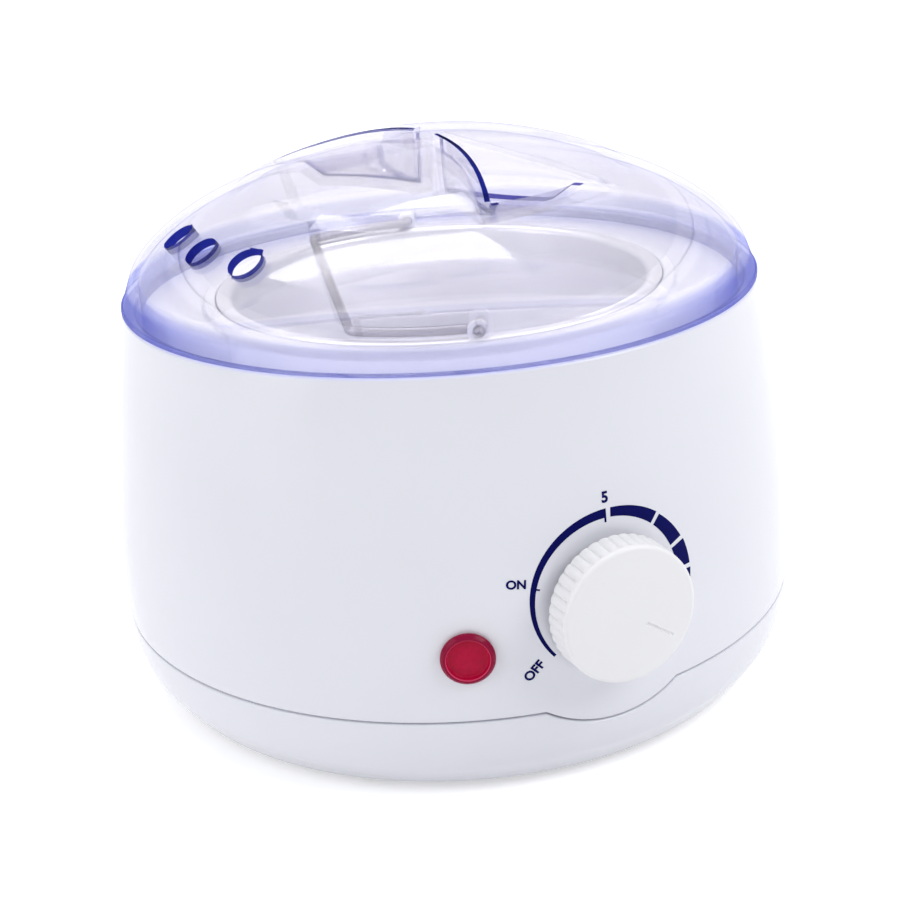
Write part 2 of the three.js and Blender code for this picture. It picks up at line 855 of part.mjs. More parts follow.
function ear() {
  const low = vector3(-earWidth / 2, -earInnerRadius - earWall, potRimHeight + seatGap);
  const high = vector3(earWidth / 2, -earInnerRadius, potRimHeight + seatGap + earHeight);
  const from = vector3(0, -earInnerRadius + overrun, pinHeight);
  const to = vector3(0, -potRimRadius - overrun, pinHeight);
  const hole = rod(from, to, bailWireRadius + holeGap, smallFacets);
  return solid(block(low, high)).subtract(solid(hole));
}

add(turnedGroup(bailTurn), "pot_ear_near", ear(), aluminium);
add(turnedGroup(bailTurn + fullTurn / 2), "pot_ear_far", ear(), aluminium);

function bail() {
  const legRadius = earInnerRadius - bailWireRadius - bailInset;
  const cornerTurn = Math.asin(bailChordOffset / legRadius) / degree;
  const startTurn = bailWireRadius / legRadius / degree;
  const leg = bailLegShares.map((share) => around(-cornerTurn * share, legRadius, 0));
  const chord = around(-cornerTurn, legRadius, 0);
  const bar = bailBarShares.map((share) => vector3(chord.x, chord.y * share, 0));
  const half = [around(startTurn, legRadius, 0), around(0, legRadius, 0), ...leg, ...bar];
  const back = half.slice(0, -1).reverse().map((point) => vector3(point.x, -point.y, 0));
  let bow = solid(wire([...half, ...back], bailWireRadius, wireFacets, bailSteps));
  for (const side of [-1, 1]) {
    const tip = vector3(0, side * (earInnerRadius + earWall + bailPinReach), 0);
    const root = vector3(0, side * legRadius, 0);
    bow = bow.add(solid(rod(tip, root, bailWireRadius, wireFacets)));
  }
  return bow;
}

const bailPiece = add(turnedGroup(bailTurn), "pot_bail", bail(), steel);
bailPiece.position.z = pinHeight;

// Heating well with its studs, gasket and screws
function heatingWell() {
  const outline = [
    vector2(0, wellFloorHeight),
    vector2(wellRadius - wellCorner, wellFloorHeight),
    vector2(wellRadius, wellFloorHeight + wellCorner),
    vector2(wellRadius, wellRimHeight),
    vector2(wellOuterRadius, wellRimHeight),
    vector2(wellOuterRadius, wellFlangeTop),
    vector2(wellFlangeRadius, wellFlangeTop),
    vector2(wellFlangeRadius, wellFlangeHeight),
    vector2(wellOuterRadius, wellFlangeHeight),
    vector2(wellOuterRadius, wellFloorHeight + wellCorner),
    vector2(wellOuterRadius - wellCorner, wellUnder),
    vector2(0, wellUnder),
  ];
  let well = solid(turned(outline, innerFacets));
  for (const turn of [bracketStudTurn, fuseStudTurn]) {
    const at = (height) => around(turn, studCircle, height);
    const stud = rod(at(wellUnder - studLength), at(wellUnder + wellWall / 2), studRadius, smallFacets);
    well = well.add(solid(stud));
  }
  for (const turn of wellScrewTurns) {
    const at = (height) => around(turn, wellScrewCircle, height);
    const from = at(wellFlangeHeight - overrun);
    const hole = rod(from, at(wellFlangeTop + overrun), wellScrewRadius + holeGap, smallFacets);
    well = well.subtract(solid(hole));
  }
  return well;
}

add(warmer, "heating_well", heatingWell(), aluminium);

const gasketOutline = [
  vector2(gasketInnerRadius, wellFlangeTop + seatGap),
  vector2(gasketOuterRadius, wellFlangeTop + seatGap),
  vector2(gasketOuterRadius, deckUnder - seatGap),
  vector2(gasketInnerRadius, deckUnder - seatGap),
];
add(warmer, "well_gasket", turned(gasketOutline, innerFacets), silicone);

const wellScrewLow = wellFlangeHeight - seatGap - wellScrewHeadHeight;
const wellScrewLength = wellFlangeTop + wellScrewReach - wellScrewLow;
wellScrewTurns.forEach((turn, i) => {
  const shape = screw(wellScrewRadius, wellScrewHeadRadius, wellScrewHeadHeight, wellScrewLength);
  const piece = add(warmer, `well_screw_${i + 1}`, shape, steel);
  piece.position.copy(around(turn, wellScrewCircle, wellScrewLow));
});

// Heater band, strap with its screw, and insulation
const bandInner = wellOuterRadius + seatGap;
const bandOuter = bandInner + bandWall;
const strapInner = bandOuter + strapClearance;
const strapOuter = strapInner + strapWall;
const wrapInner = strapOuter + seatGap;
const wrapOuter = wrapInner + wrapWall;

const bandAngle = fullTurn - bandGapAngle;
const bandTurn = bandGapAngle / 2;
const band = sector(bandInner, bandOuter, bandLowHeight, bandHighHeight, bandTurn, bandAngle, innerFacets);
add(warmer, "heater_band", band, heaterSheet);

const strapMiddle = (strapLowHeight + strapHighHeight) / 2;
const strapEarRadius = strapOuter + strapEarReach / 2;
const strapGapAngle = strapGapWidth / strapInner / degree;

function strap() {
  const firstTurn = strapTurn + strapGapAngle / 2;
  const angle = fullTurn - strapGapAngle;
  let ring = solid(
    sector(strapInner, strapOuter, strapLowHeight, strapHighHeight, firstTurn, angle, innerFacets),
  );
  for (const side of [-1, 1]) {
    const inner = (side * strapGapWidth) / 2;
    const outer = inner + side * strapWall;
    const nearAxis = Math.min(inner, outer);
    const low = vector3(nearAxis, -strapOuter - strapEarReach, strapLowHeight);
    const high = vector3(nearAxis + strapWall, -strapInner - strapWall / 2, strapHighHeight);
    ring = ring.add(solid(block(low, high).rotateZ(strapTurn * degree)));
  }
  const reach = strapGapWidth / 2 + strapWall + overrun;
  const from = vector3(-reach, -strapEarRadius, strapMiddle);
  const to = vector3(reach, -strapEarRadius, strapMiddle);
  const hole = rod(from, to, strapScrewRadius + holeGap, smallFacets);
  return ring.subtract(solid(hole.rotateZ(strapTurn * degree)));
}

add(warmer, "heater_strap", strap(), steel);

const strapScrewLength = strapGapWidth + 2 * strapWall + seatGap + 2 * strapScrewHeadHeight;
const strapScrewShape = screw(
  strapScrewRadius,
  strapScrewHeadRadius,
  strapScrewHeadHeight,
  strapScrewLength,
).rotateY(Math.PI / 2);
const strapScrew = add(turnedGroup(strapTurn), "strap_screw", strapScrewShape, steel);
const strapScrewStart = strapGapWidth / 2 + strapWall + seatGap + strapScrewHeadHeight;
strapScrew.position.set(-strapScrewStart, -strapEarRadius, strapMiddle);

function wrap() {
  const angle = fullTurn - wrapGapAngle;
  const blanket = solid(
    sector(wrapInner, wrapOuter, wrapLowHeight, wrapHighHeight, wrapGapAngle / 2, angle, innerFacets),
  );
  const low = vector3(-wrapNotchWidth / 2, -wrapOuter - overrun, strapLowHeight - overrun);
  const high = vector3(wrapNotchWidth / 2, -wrapInner + overrun, strapHighHeight + overrun);
  return blanket.subtract(solid(block(low, high).rotateZ(strapTurn * degree)));
}

add(warmer, "insulation_wrap", wrap(), glassWool);

// Thermostat on its bracket under the well's front stud, behind the dial
const bracketBack = strapOuter + seatGap;
const bracketFront = bracketBack + bracketWall;
const thermostatBack = bracketFront + seatGap;
const thermostatFront = thermostatBack + thermostatDepth;
const thermostatLow = knobHeight - thermostatHeight / 2;
const thermostatHigh = knobHeight + thermostatHeight / 2;

function bracket() {
  const half = bracketWidth / 2;
  const footTop = wellUnder - seatGap;
  const footLowHeight = footTop - bracketWall;
  const plateLow = vector3(-half, -bracketFront, Math.min(footLowHeight, thermostatLow));
  const plateHigh = vector3(half, -bracketBack, Math.max(footTop, thermostatHigh));
  const footLow = vector3(-half, -bracketBack - bracketWall / 2, footLowHeight);
  const footHigh = vector3(half, -studCircle + bracketFootMargin, footTop);
  const from = vector3(0, -studCircle, footLowHeight - overrun);
  const to = vector3(0, -studCircle, footTop + overrun);
  const hole = rod(from, to, studRadius + holeGap, smallFacets);
  const angle = solid(block(plateLow, plateHigh)).add(solid(block(footLow, footHigh)));
  return angle.subtract(solid(hole));
}

function thermostat() {
  const low = vector3(-thermostatWidth / 2, -thermostatFront, thermostatLow);
  const high = vector3(thermostatWidth / 2, -thermostatBack, thermostatHigh);
  const root = vector3(0, -thermostatFront + bracketWall, knobHeight);
  const mouth = vector3(0, -thermostatFront - bushingLength, knobHeight);
  const bushing = rod(root, mouth, bushingRadius, holeFacets);
  const bottom = vector3(0, -thermostatFront + bushingBoreDepth, knobHeight);
  const past = vector3(0, -thermostatFront - bushingLength - overrun, knobHeight);
  const bore = rod(bottom, past, shaftRadius + holeGap, holeFacets);
  return solid(block(low, high)).add(solid(bushing)).subtract(solid(bore));
}

add(warmer, "thermostat_bracket", bracket(), steel);
add(warmer, "thermostat_body", thermostat(), ceramic);
const bracketNut = add(warmer, "bracket_nut", nut(), steel);
const bracketNutHeight = wellUnder - bracketWall - 2 * seatGap - nutHeight / 2;
bracketNut.position.copy(around(bracketStudTurn, studCircle, bracketNutHeight));

const terminalPlace = (thermostatBack + thermostatFront) / 2;
const terminalLow = thermostatLow - seatGap - terminalLength;
for (const [side, label] of [[-1, "left"], [1, "right"]]) {
  const middle = (side * terminalSpacing) / 2;
  const low = vector3(middle - terminalWall / 2, -terminalPlace - terminalWidth / 2, terminalLow);
  const high = vector3(
    middle + terminalWall / 2,
    -terminalPlace + terminalWidth / 2,
    thermostatLow - seatGap,
  );
  add(warmer, `thermostat_terminal_${label}`, block(low, high), steel);
}

// Dial: the knob and the flatted shaft that turns with it, about an axis along -Y
const knobBack = outerAt(knobHeight - knobBackRadius) + knobGap;
const knobFront = knobBack + knobDepth;
const shaftBack = thermostatFront - bushingBoreDepth + seatGap;
const shaftFront = knobFront - knobWall - seatGap;

// A flatted round bar along -Y, grown all round by a distance
function shaftBar(from, to, grow) {
  const radius = shaftRadius + grow;
  const bar = rod(vector3(0, -from, 0), vector3(0, -to, 0), radius, holeFacets);
  const low = vector3(-radius - overrun, -to - overrun, radius - shaftFlat - grow / 2);
  const high = vector3(radius + overrun, -knobBack - seatGap, radius + overrun);
  return solid(bar).subtract(solid(block(low, high)));
}

// The knob's ribbed side, as rings from its back to its face: reach, radius and rib depth
function knobSide() {
  const ridge = 2 * knobRibCount;
  const rings = [
    [knobBack, knobBackRadius, 0],
    [knobBack + knobRimDepth, knobBackRadius, knobRibDepth],
    [knobFront - knobEdge, knobFaceRadius, knobRibDepth],
    [knobFront, knobFaceRadius - knobEdge, 0],
  ];
  const places = [];
  for (const [reach, radius, ribDepth] of rings) {
    for (let i = 0; i < ridge; i += 1) {
      const angle = (2 * Math.PI * i) / ridge;
      const size = radius - (i % 2) * ribDepth;
      places.push(size * Math.sin(angle), -reach, size * Math.cos(angle));
    }
  }
  places.push(0, -knobBack, 0, 0, -knobFront, 0);
  const backMiddle = rings.length * ridge;
  const faces = [];
  for (let i = 0; i < ridge; i += 1) {
    const next = (i + 1) % ridge;
    for (let ring = 0; ring + 1 < rings.length; ring += 1) {
      const low = ring * ridge;
      const high = low + ridge;
      faces.push(low + i, low + next, high + next, low + i, high + next, high + i);
    }
    const top = (rings.length - 1) * ridge;
    faces.push(next, i, backMiddle, top + i, top + next, backMiddle + 1);
  }
  const geometry = new THREE.BufferGeometry();
  geometry.setAttribute("position", new THREE.Float32BufferAttribute(places, 3));
  geometry.setIndex(faces);
  return geometry;
}

function knob() {
  const back = vector3(0, -knobBack + overrun, 0);
  const ceiling = vector3(0, -knobFront + knobWall, 0);
  const hubTop = vector3(0, -knobFront + knobWall / 2, 0);
  const hub = rod(vector3(0, -knobBack, 0), hubTop, knobHubRadius, holeFacets);
  const hollow = rod(back, ceiling, knobFaceRadius - knobRibDepth - knobWall, innerFacets);
  const bore = shaftBar(knobBack - overrun, knobFront - knobWall, holeGap);
  const low = vector3(-knobMarkWidth / 2, -knobFront - overrun, knobMarkStart);
  const high = vector3(knobMarkWidth / 2, -knobFront + knobMarkDepth, knobMarkEnd);
  const mark = solid(block(low, high).rotateY(knobMarkTurn * degree));
  return solid(knobSide()).subtract(solid(hollow)).add(solid(hub)).subtract(bore).subtract(mark);
}

const dial = new THREE.Group();
dial.position.z = knobHeight;
warmer.add(dial);
add(dial, "control_knob", knob(), whiteKnob);
add(dial, "thermostat_shaft", shaftBar(shaftBack, shaftFront, 0), steel);

// Pilot lamp, in a frame with its axis along -Y
const lamp = turnedGroup(lampTurn);
const lampFace = outerAt(lampHeight) + seatGap + lampFlangeWall;
const lampBack = lampFace - lampFlangeWall - lampBodyLength;
const ahead = (reach) => vector3(0, -reach, 0);

function lampLens() {
  const flange = rod(ahead(lampFace - lampFlangeWall), ahead(lampFace), lampFlangeRadius, innerFacets);
  const body = rod(ahead(lampBack), ahead(lampFace - lampFlangeWall / 2), lampBodyRadius, innerFacets);
  const disc = rod(ahead(lampFace - lampDiscDepth), ahead(lampFace + overrun), lampDiscRadius, innerFacets);
  const bore = rod(ahead(lampBack - overrun), ahead(lampFace - lampBoreWall), lampBoreRadius, holeFacets);
  return solid(flange).add(solid(body)).subtract(solid(disc)).subtract(solid(bore));
}

function lampRing() {
  const outer = lampBodyRadius + holeGap + lampRingWidth;
  const inside = innerAt(lampHeight);
  const front = Math.sqrt(inside ** 2 - outer ** 2) - seatGap;
  const back = front - lampRingWall;
  const ring = rod(ahead(back), ahead(front), outer, holeFacets);
  const holeRadius = lampBodyRadius + holeGap;
  const hole = rod(ahead(back - overrun), ahead(front + overrun), holeRadius, holeFacets);
  return solid(ring).subtract(solid(hole));
}

function lampHolder() {
  const capFront = lampBack - seatGap;
  const plugFront = capFront + lampHolderPlug;
  const cap = rod(ahead(capFront - lampHolderWall), ahead(capFront), lampBodyRadius, holeFacets);
  const plugRadius = lampBoreRadius - holeGap;
  const plug = rod(ahead(capFront - lampHolderWall / 2), ahead(plugFront), plugRadius, holeFacets);
  const bore = rod(ahead(capFront), ahead(plugFront + overrun), bulbRadius + holeGap, holeFacets);
  return solid(cap).add(solid(plug)).subtract(solid(bore));
}

const bulb = rod(ahead(lampBack), ahead(lampBack + bulbLength), bulbRadius, smallFacets);
for (const [name, shape, material] of [
  ["lamp_lens", lampLens(), redLens],
  ["lamp_ring", lampRing(), nylon],
  ["lamp_holder", lampHolder(), nylon],
  ["neon_bulb", bulb, bulbGlass],
]) {
  add(lamp, name, shape, material).position.z = lampHeight;
}

// Thermal fuse in its clip under the well's second stud, in a frame with that stud in front
const fuseGroup = turnedGroup(fuseStudTurn);
const clipTop = wellUnder - seatGap;
const fusePlace = studCircle - fuseClipFoot - fuseRadius;
const fuseMiddle = clipTop - fuseRadius;
const clipHoop = fuseRadius + seatGap;

function fuseClip() {
  const half = fuseClipWidth / 2;
  const hoop = rod(
    vector3(-half, -fusePlace, fuseMiddle),
    vector3(half, -fusePlace, fuseMiddle),
    clipHoop + fuseClipWall,
    holeFacets,
  );
  const hollow = rod(
    vector3(-half - overrun, -fusePlace, fuseMiddle),
    vector3(half + overrun, -fusePlace, fuseMiddle),
    clipHoop,
    holeFacets,
  );
  const footLow = vector3(-half, -studCircle - half, clipTop - fuseClipWall);
  const footHigh = vector3(half, -fusePlace - clipHoop - fuseClipWall / 2, clipTop);
  const openLow = vector3(-half - overrun, -fusePlace - clipHoop, fuseMiddle + clipHoop - fuseClipWall);
  const openHigh = vector3(half + overrun, -fusePlace + clipHoop, clipTop + overrun);
  const stemLow = vector3(-half, -fusePlace - clipHoop - fuseClipWall, fuseMiddle);
  const stemHigh = vector3(half, -fusePlace - clipHoop, clipTop);
  const hole = rod(
    vector3(0, -studCircle, clipTop - fuseClipWall - overrun),
    vector3(0, -studCircle, clipTop + overrun),
    studRadius + holeGap,
    smallFacets,
  );
  return solid(hoop)
    .subtract(solid(hollow))
    .subtract(solid(block(openLow, openHigh)))
    .add(solid(block(stemLow, stemHigh)))
    .add(solid(block(footLow, footHigh)))
    .subtract(solid(hole));
}

const fuse = rod(
  vector3(-fuseLength / 2, -fusePlace, fuseMiddle),
  vector3(fuseLength / 2, -fusePlace, fuseMiddle),
  fuseRadius,
  smallFacets,
);
add(fuseGroup, "thermal_fuse", fuse, ceramic);
add(fuseGroup, "fuse_clip", fuseClip(), steel);
const fuseNut = add(fuseGroup, "fuse_nut", nut(), steel);
fuseNut.position.set(0, -studCircle, clipTop - fuseClipWall - seatGap - nutHeight / 2);

// Terminal block on the base floor, and the gland where the mains lead enters
const blockLow = floorWall + seatGap;
const blockHole = blockScrewRadius + holeGap;

function terminalBlock() {
  const low = vector3(-blockWidth / 2, blockPlace - blockDepth / 2, blockLow);
  const high = vector3(blockWidth / 2, blockPlace + blockDepth / 2, blockLow + blockHeight);
  const from = vector3(0, blockPlace, blockLow - overrun);
  const to = vector3(0, blockPlace, blockLow + blockHeight + overrun);
  return solid(block(low, high)).subtract(solid(rod(from, to, blockHole, smallFacets)));
}

add(warmer, "terminal_block", terminalBlock(), nylon);
const blockScrewTop = blockLow + blockHeight + seatGap + blockScrewHeadHeight;
const blockScrewLength = blockScrewTop - floorWall + blockScrewBite - seatGap;
const blockScrewShape = screw(
  blockScrewRadius,
  blockScrewHeadRadius,
  blockScrewHeadHeight,
  blockScrewLength,
).rotateX(Math.PI);
const blockScrew = add(warmer, "terminal_screw", blockScrewShape, steel);
blockScrew.position.set(0, blockPlace, blockScrewTop);

function gland() {
  const face = outerAt(glandHeight + glandFlangeRadius) + seatGap;
  const inner = innerAt(scallopLow) - seatGap - lipWall - glandInnerReach;
  const at = (reach) => vector3(0, reach, glandHeight);
  const flange = rod(at(face), at(face + glandFlangeWall), glandFlangeRadius, holeFacets);
  const body = rod(at(inner), at(face + glandFlangeWall / 2), glandBodyRadius, holeFacets);
  const bore = rod(at(inner - overrun), at(bodyRadius + 2 * overrun), glandBoreRadius, holeFacets);
  return solid(flange).add(solid(body)).subtract(solid(bore));
}

add(warmer, "cord_gland", gland(), rubber);

// Leads between the terminals, each along a hand-chosen route
const blockFront = blockPlace - blockDepth / 2 - seatGap;
const heaterLeadRadius = (bandInner + bandOuter) / 2;
const heaterLeadTop = bandLowHeight - seatGap;
const heaterLeadTurn = bandTurn + heaterLeadAngle;
const leadTail = leadSpacing / 2;
const turnedBy = (turn, point) => point.applyAxisAngle(vector3(0, 0, 1), turn * degree);
const down = (point, distance) => point.clone().setZ(point.z - distance);
const bandEnd = (side) => around(side * heaterLeadTurn, heaterLeadRadius, heaterLeadTop);
const fuseAlong = turnedBy(fuseStudTurn, vector3(leadTail, 0, 0));
const lampInward = around(lampTurn, -leadTail, 0);

function fuseEnd(side) {
  const reach = side * (fuseLength / 2 + seatGap);
  return turnedBy(fuseStudTurn, vector3(reach, -fusePlace, fuseMiddle));
}

function terminalEnd(side) {
  return vector3((side * terminalSpacing) / 2, -terminalPlace, terminalLow - seatGap);
}

function lampEnd(side) {
  const place = -lampBack + 2 * seatGap + lampHolderWall;
  return turnedBy(lampTurn, vector3((side * lampBoreRadius) / 2, place, lampHeight));
}

const sideTerminal = vector3(
  -terminalSpacing / 2 - terminalWall / 2 - seatGap,
  -terminalPlace,
  terminalLow + terminalWidth / 2,
);

const leadRoutes = {
  lead_live: [
    vector3(-leadTail, blockFront, leadFloorHeight),
    vector3(-leadTail, blockFront - leadSpacing, leadFloorHeight),
    vector3(-leadSideReach, 0, leadFloorHeight),
    vector3(-leadSpacing, -studCircle - leadSpacing, leadFloorHeight),
    down(terminalEnd(-1), leadTail),
    terminalEnd(-1),
  ],
  lead_heater: [
    terminalEnd(1),
    down(terminalEnd(1), leadTail),
    vector3(2 * leadSpacing, -terminalPlace, leadMidHeight),
    down(bandEnd(1), 2 * leadSpacing),
    down(bandEnd(1), leadTail),
    bandEnd(1),
  ],
  lead_fuse: [
    bandEnd(-1),
    down(bandEnd(-1), leadTail),
    down(bandEnd(-1), 2 * leadSpacing),
    vector3(0, -leadSideReach, leadMidHeight),
    vector3(leadSideReach, -2 * leadSpacing, leadMidHeight),
    fuseEnd(-1).sub(fuseAlong),
    fuseEnd(-1),
  ],
  lead_neutral: [
    fuseEnd(1),
    fuseEnd(1).add(fuseAlong),
    vector3(leadSpacing, studCircle - leadSpacing, leadMidHeight),
    vector3(leadTail, blockFront - leadSpacing, leadFloorHeight),
    vector3(leadTail, blockFront, leadFloorHeight),
  ],
  lamp_lead_left: [
    lampEnd(-1),
    lampEnd(-1).add(lampInward),
    vector3(-leadSideReach - leadSpacing, -studCircle, leadMidHeight),
    vector3(-leadSideReach - leadSpacing, 0, leadFloorHeight),
    vector3(-leadSpacing - leadRadius, blockFront - leadTail, leadFloorHeight),
    vector3(-leadSpacing - leadRadius, blockFront, leadFloorHeight),
  ],
  lamp_lead_right: [
    lampEnd(1),
    lampEnd(1).add(lampInward),
    sideTerminal.clone().add(vector3(-leadTail, 0, 0)),
    sideTerminal,
  ],
};
for (const [name, route] of Object.entries(leadRoutes)) {
  add(warmer, name, wire(route, leadRadius, leadFacets, leadSteps), leadSleeve);
}

export default warmer;
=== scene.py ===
"""Looks of a wax warmer: a white body, a tinted lid, a metal pot with its bail, a dial and a pilot lamp.

Every size in the classes is in millimetres. Shapes are worked out as numpy arrays and scaled to metres
when they become meshes. The front of the object looks along -Y, and a turn runs from there towards +X.
"""

from __future__ import annotations

import logging
import math
from dataclasses import dataclass, field
from enum import Enum, IntEnum
from functools import cached_property
from typing import Iterable, Protocol, Sequence

import bmesh
import bpy
import numpy as np
from mathutils import Matrix, Vector

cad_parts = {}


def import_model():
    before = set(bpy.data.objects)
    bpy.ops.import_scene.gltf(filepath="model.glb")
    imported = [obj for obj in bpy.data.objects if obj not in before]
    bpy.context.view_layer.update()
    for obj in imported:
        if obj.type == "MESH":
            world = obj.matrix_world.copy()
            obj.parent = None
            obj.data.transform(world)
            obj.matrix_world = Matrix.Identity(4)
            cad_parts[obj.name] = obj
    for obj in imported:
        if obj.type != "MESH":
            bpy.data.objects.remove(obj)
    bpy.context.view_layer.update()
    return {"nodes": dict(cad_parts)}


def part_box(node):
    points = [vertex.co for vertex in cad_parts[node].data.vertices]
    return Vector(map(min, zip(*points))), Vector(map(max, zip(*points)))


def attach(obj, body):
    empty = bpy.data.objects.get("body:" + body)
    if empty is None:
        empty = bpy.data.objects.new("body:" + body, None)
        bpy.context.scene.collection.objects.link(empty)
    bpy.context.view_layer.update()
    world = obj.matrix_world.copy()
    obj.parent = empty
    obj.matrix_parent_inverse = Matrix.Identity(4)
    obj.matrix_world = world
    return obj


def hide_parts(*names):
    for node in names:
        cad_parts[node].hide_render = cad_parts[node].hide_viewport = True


LOG = logging.getLogger("wax_warmer")
MM = 0.001
# The face attribute that a finish reads.
ZONES = "zone"
# Edges that turn by more degrees stay sharp.
SHARP = 38.0
# The most that an arc takes of a side, and a guard point of what the arc leaves.
ARC_SHARE = 0.46
GUARD_SHARE = 0.3
Array = np.ndarray
Pair = tuple[float, float]
Triple = tuple[float, float, float]
Colour = Triple
Corner = Triple
Material = bpy.types.Material
Node = bpy.types.Node
Piece = bpy.types.Object
Socket = bpy.types.NodeSocket


class Body(Enum):
    """The moving bodies of the object."""

    HOUSING = "housing"
    DIAL = "dial"
    POT = "pot"
    BAIL = "bail"
    LID = "lid"


class Slot(Enum):
    """The record's material slots for the pieces made here."""

    SHELL = "shell"
    KNOB = "knob"
    LID = "lid"
    ALUMINIUM = "aluminium"
    WELL = "well"
    STEEL = "steel"
    RUBBER = "rubber"
    LENS = "lens"


class DyeAndEdgeShade(IntEnum):
    """How dark the lid looks on a face, from its dye and from painted dark blue edge shade, from plain
    faces to hard edges.
    """

    PLAIN = 0
    WALL = 1
    RAMP = 2
    FOOT = 3
    EDGE = 4


# Shapes


def smooth(value: Array) -> Array:
    """Gives 3t^2 - 2t^3 of a value held between 0 and 1.

    Args:
        value: The values.

    Returns:
        The eased values, of the same shape.
    """
    held = np.clip(value, 0, 1)
    return held * held * (3 - 2 * held)


def eased(count: int) -> Array:
    """Gives steps from -1 to 1 that lie closer together towards both ends: the sine of even angles."""
    return np.sin(np.linspace(-np.pi / 2, np.pi / 2, count))


def angles(count: int) -> Array:
    """Gives even angles round a circle."""
    return np.linspace(0, 2 * np.pi, count, endpoint=False)


def swept(radius: Array, angle: Array, height: Array) -> Array:
    """Gives the points (r sin a, -r cos a, h) of arrays that fit together."""
    return np.stack(np.broadcast_arrays(radius * np.sin(angle), -radius * np.cos(angle), height), axis=-1)


def oblong(half: float, reach: float, count: int) -> Array:
    """Gives the outline of a bar with round ends, as (half sin a, half cos a + or - reach).

    Args:
        half: Half its width.
        reach: How far its ends' middles lie from its own.
        count: The number of points.

    Returns:
        The outline, count by 2.
    """
    angle = angles(count)
    along = half * np.cos(angle) + np.where(np.cos(angle) >= 0, reach, -reach)
    return np.stack([half * np.sin(angle), along], axis=1)


def bent(points: Sequence[Array | Sequence[float]], count: int) -> Array:
    """Gives a curve from the first point to the last, pulled by those between.

    With n + 1 points it is the sum of (n over k) (1 - t)^(n - k) t^k times point k, for t from 0 to 1.

    Args:
        points: The points that shape the curve.
        count: The number of points along it.

    Returns:
        The curve's points, count by 2.
    """
    share = np.linspace(0, 1, count)[:, None]
    last = len(points) - 1
    weights = [math.comb(last, k) * (1 - share) ** (last - k) * share**k for k in range(last + 1)]
    return sum(weight * np.asarray(point) for weight, point in zip(weights, points))


def rounded(corners: Array, radii: Array | Sequence[float], steps: int = 6, guard: float = 0.12) -> Array:
    """Rounds the corners of an open outline with arcs.

    An arc of radius r touches both sides at r / tan(half the corner's angle) from the corner, and its
    points turn evenly about its centre. A guard point beside each end keeps the flats flat in the shading.

    Args:
        corners: The outline's corners, n by 2.
        radii: One radius for each corner, 0 for a corner that stays. The ends' radii aren't used.
        steps: The number of steps in an arc.
        guard: How far a guard point lies beyond an arc's end.

    Returns:
        The outline's points, m by 2.
    """
    before = corners[:-2] - corners[1:-1]
    after = corners[2:] - corners[1:-1]
    room_before = np.linalg.norm(before, axis=1, keepdims=True)
    room_after = np.linalg.norm(after, axis=1, keepdims=True)
    before = before / room_before
    after = after / room_after
    half = np.arccos(np.clip(np.sum(before * after, axis=1, keepdims=True), -1, 1)) / 2
    room = np.minimum(room_before, room_after)
    reach = np.minimum(np.asarray(radii, float)[1:-1, None] / np.tan(half), ARC_SHARE * room)
    radius = reach * np.tan(half)
    middle = before + after
    middle = middle / np.maximum(np.linalg.norm(middle, axis=1, keepdims=True), 1e-9)
    centre = corners[1:-1] + middle * radius / np.sin(half)
    start = corners[1:-1] + before * reach - centre
    end = corners[1:-1] + after * reach - centre
    sweep = np.maximum(np.pi - 2 * half, 1e-6)[:, None, :]
    share = np.linspace(0, 1, steps + 1)[None, :, None]
    spread = np.sin((1 - share) * sweep) * start[:, None, :] + np.sin(share * sweep) * end[:, None, :]
    arcs = centre[:, None, :] + spread / np.sin(sweep)
    extra = np.where(reach > 0, np.minimum(guard, GUARD_SHARE * (room - reach)), 0)
    first = arcs[:, :1] + (before * extra)[:, None, :]
    last = arcs[:, -1:] + (after * extra)[:, None, :]
    rows = np.concatenate([first, arcs, last], axis=1).reshape(-1, 2)
    points = np.vstack([corners[:1], rows, corners[-1:]])
    moved = np.linalg.norm(np.diff(points, axis=0), axis=1) > 1e-5
    return points[np.concatenate([[True], moved])]


def profile(table: Sequence[Corner], steps: int = 6) -> Array:
    """Rounds an outline of (radius, height, radius of the corner's arc)."""
    rows = np.array(table, float)
    return rounded(rows[:, :2], rows[:, 2], steps)


def grid_faces(rows: int, columns: int, close_rows: bool = False, close_columns: bool = True) -> Array:
    """Numbers the corners of the faces between neighbouring rows and columns of a grid.

    Args:
        rows: The grid's rows.
        columns: The grid's columns.
        close_rows: Whether the last row joins the first one.
        close_columns: Whether the last column joins the first one.

    Returns:
        The corner numbers, k by 4.
    """
    row = np.arange(rows if close_rows else rows - 1)[:, None]
    column = np.arange(columns if close_columns else columns - 1)[None, :]
    next_row, next_column = (row + 1) % rows, (column + 1) % columns
    corners = [
        row * columns + column,
        row * columns + next_column,
        next_row * columns + next_column,
        next_row * columns + column,
    ]
    return np.stack(corners, axis=-1).reshape(-1, 4)


@dataclass
class Surface:
    """A grid of points, rows by columns by 3, in millimetres.

    Attributes:
        points: The grid.
        close_rows: Whether the rows close into a ring.
        close_columns: Whether the columns close into a ring.
        capped: Whether the first and last columns each get a face of their own.
        zones: A number for each face between rows and columns, for a finish to read.
    """

    points: Array
    close_rows: bool = False
    close_columns: bool = True
    capped: bool = False
    zones: Array | None = None

    def faces(self) -> list:
        """Gives the corner numbers of every face."""
        rows, columns = self.points.shape[:2]
        faces = grid_faces(rows, columns, self.close_rows, self.close_columns).tolist()
        if self.capped:
            ends = np.arange(rows) * columns
            faces += [ends.tolist(), (ends + columns - 1)[::-1].tolist()]
        return faces


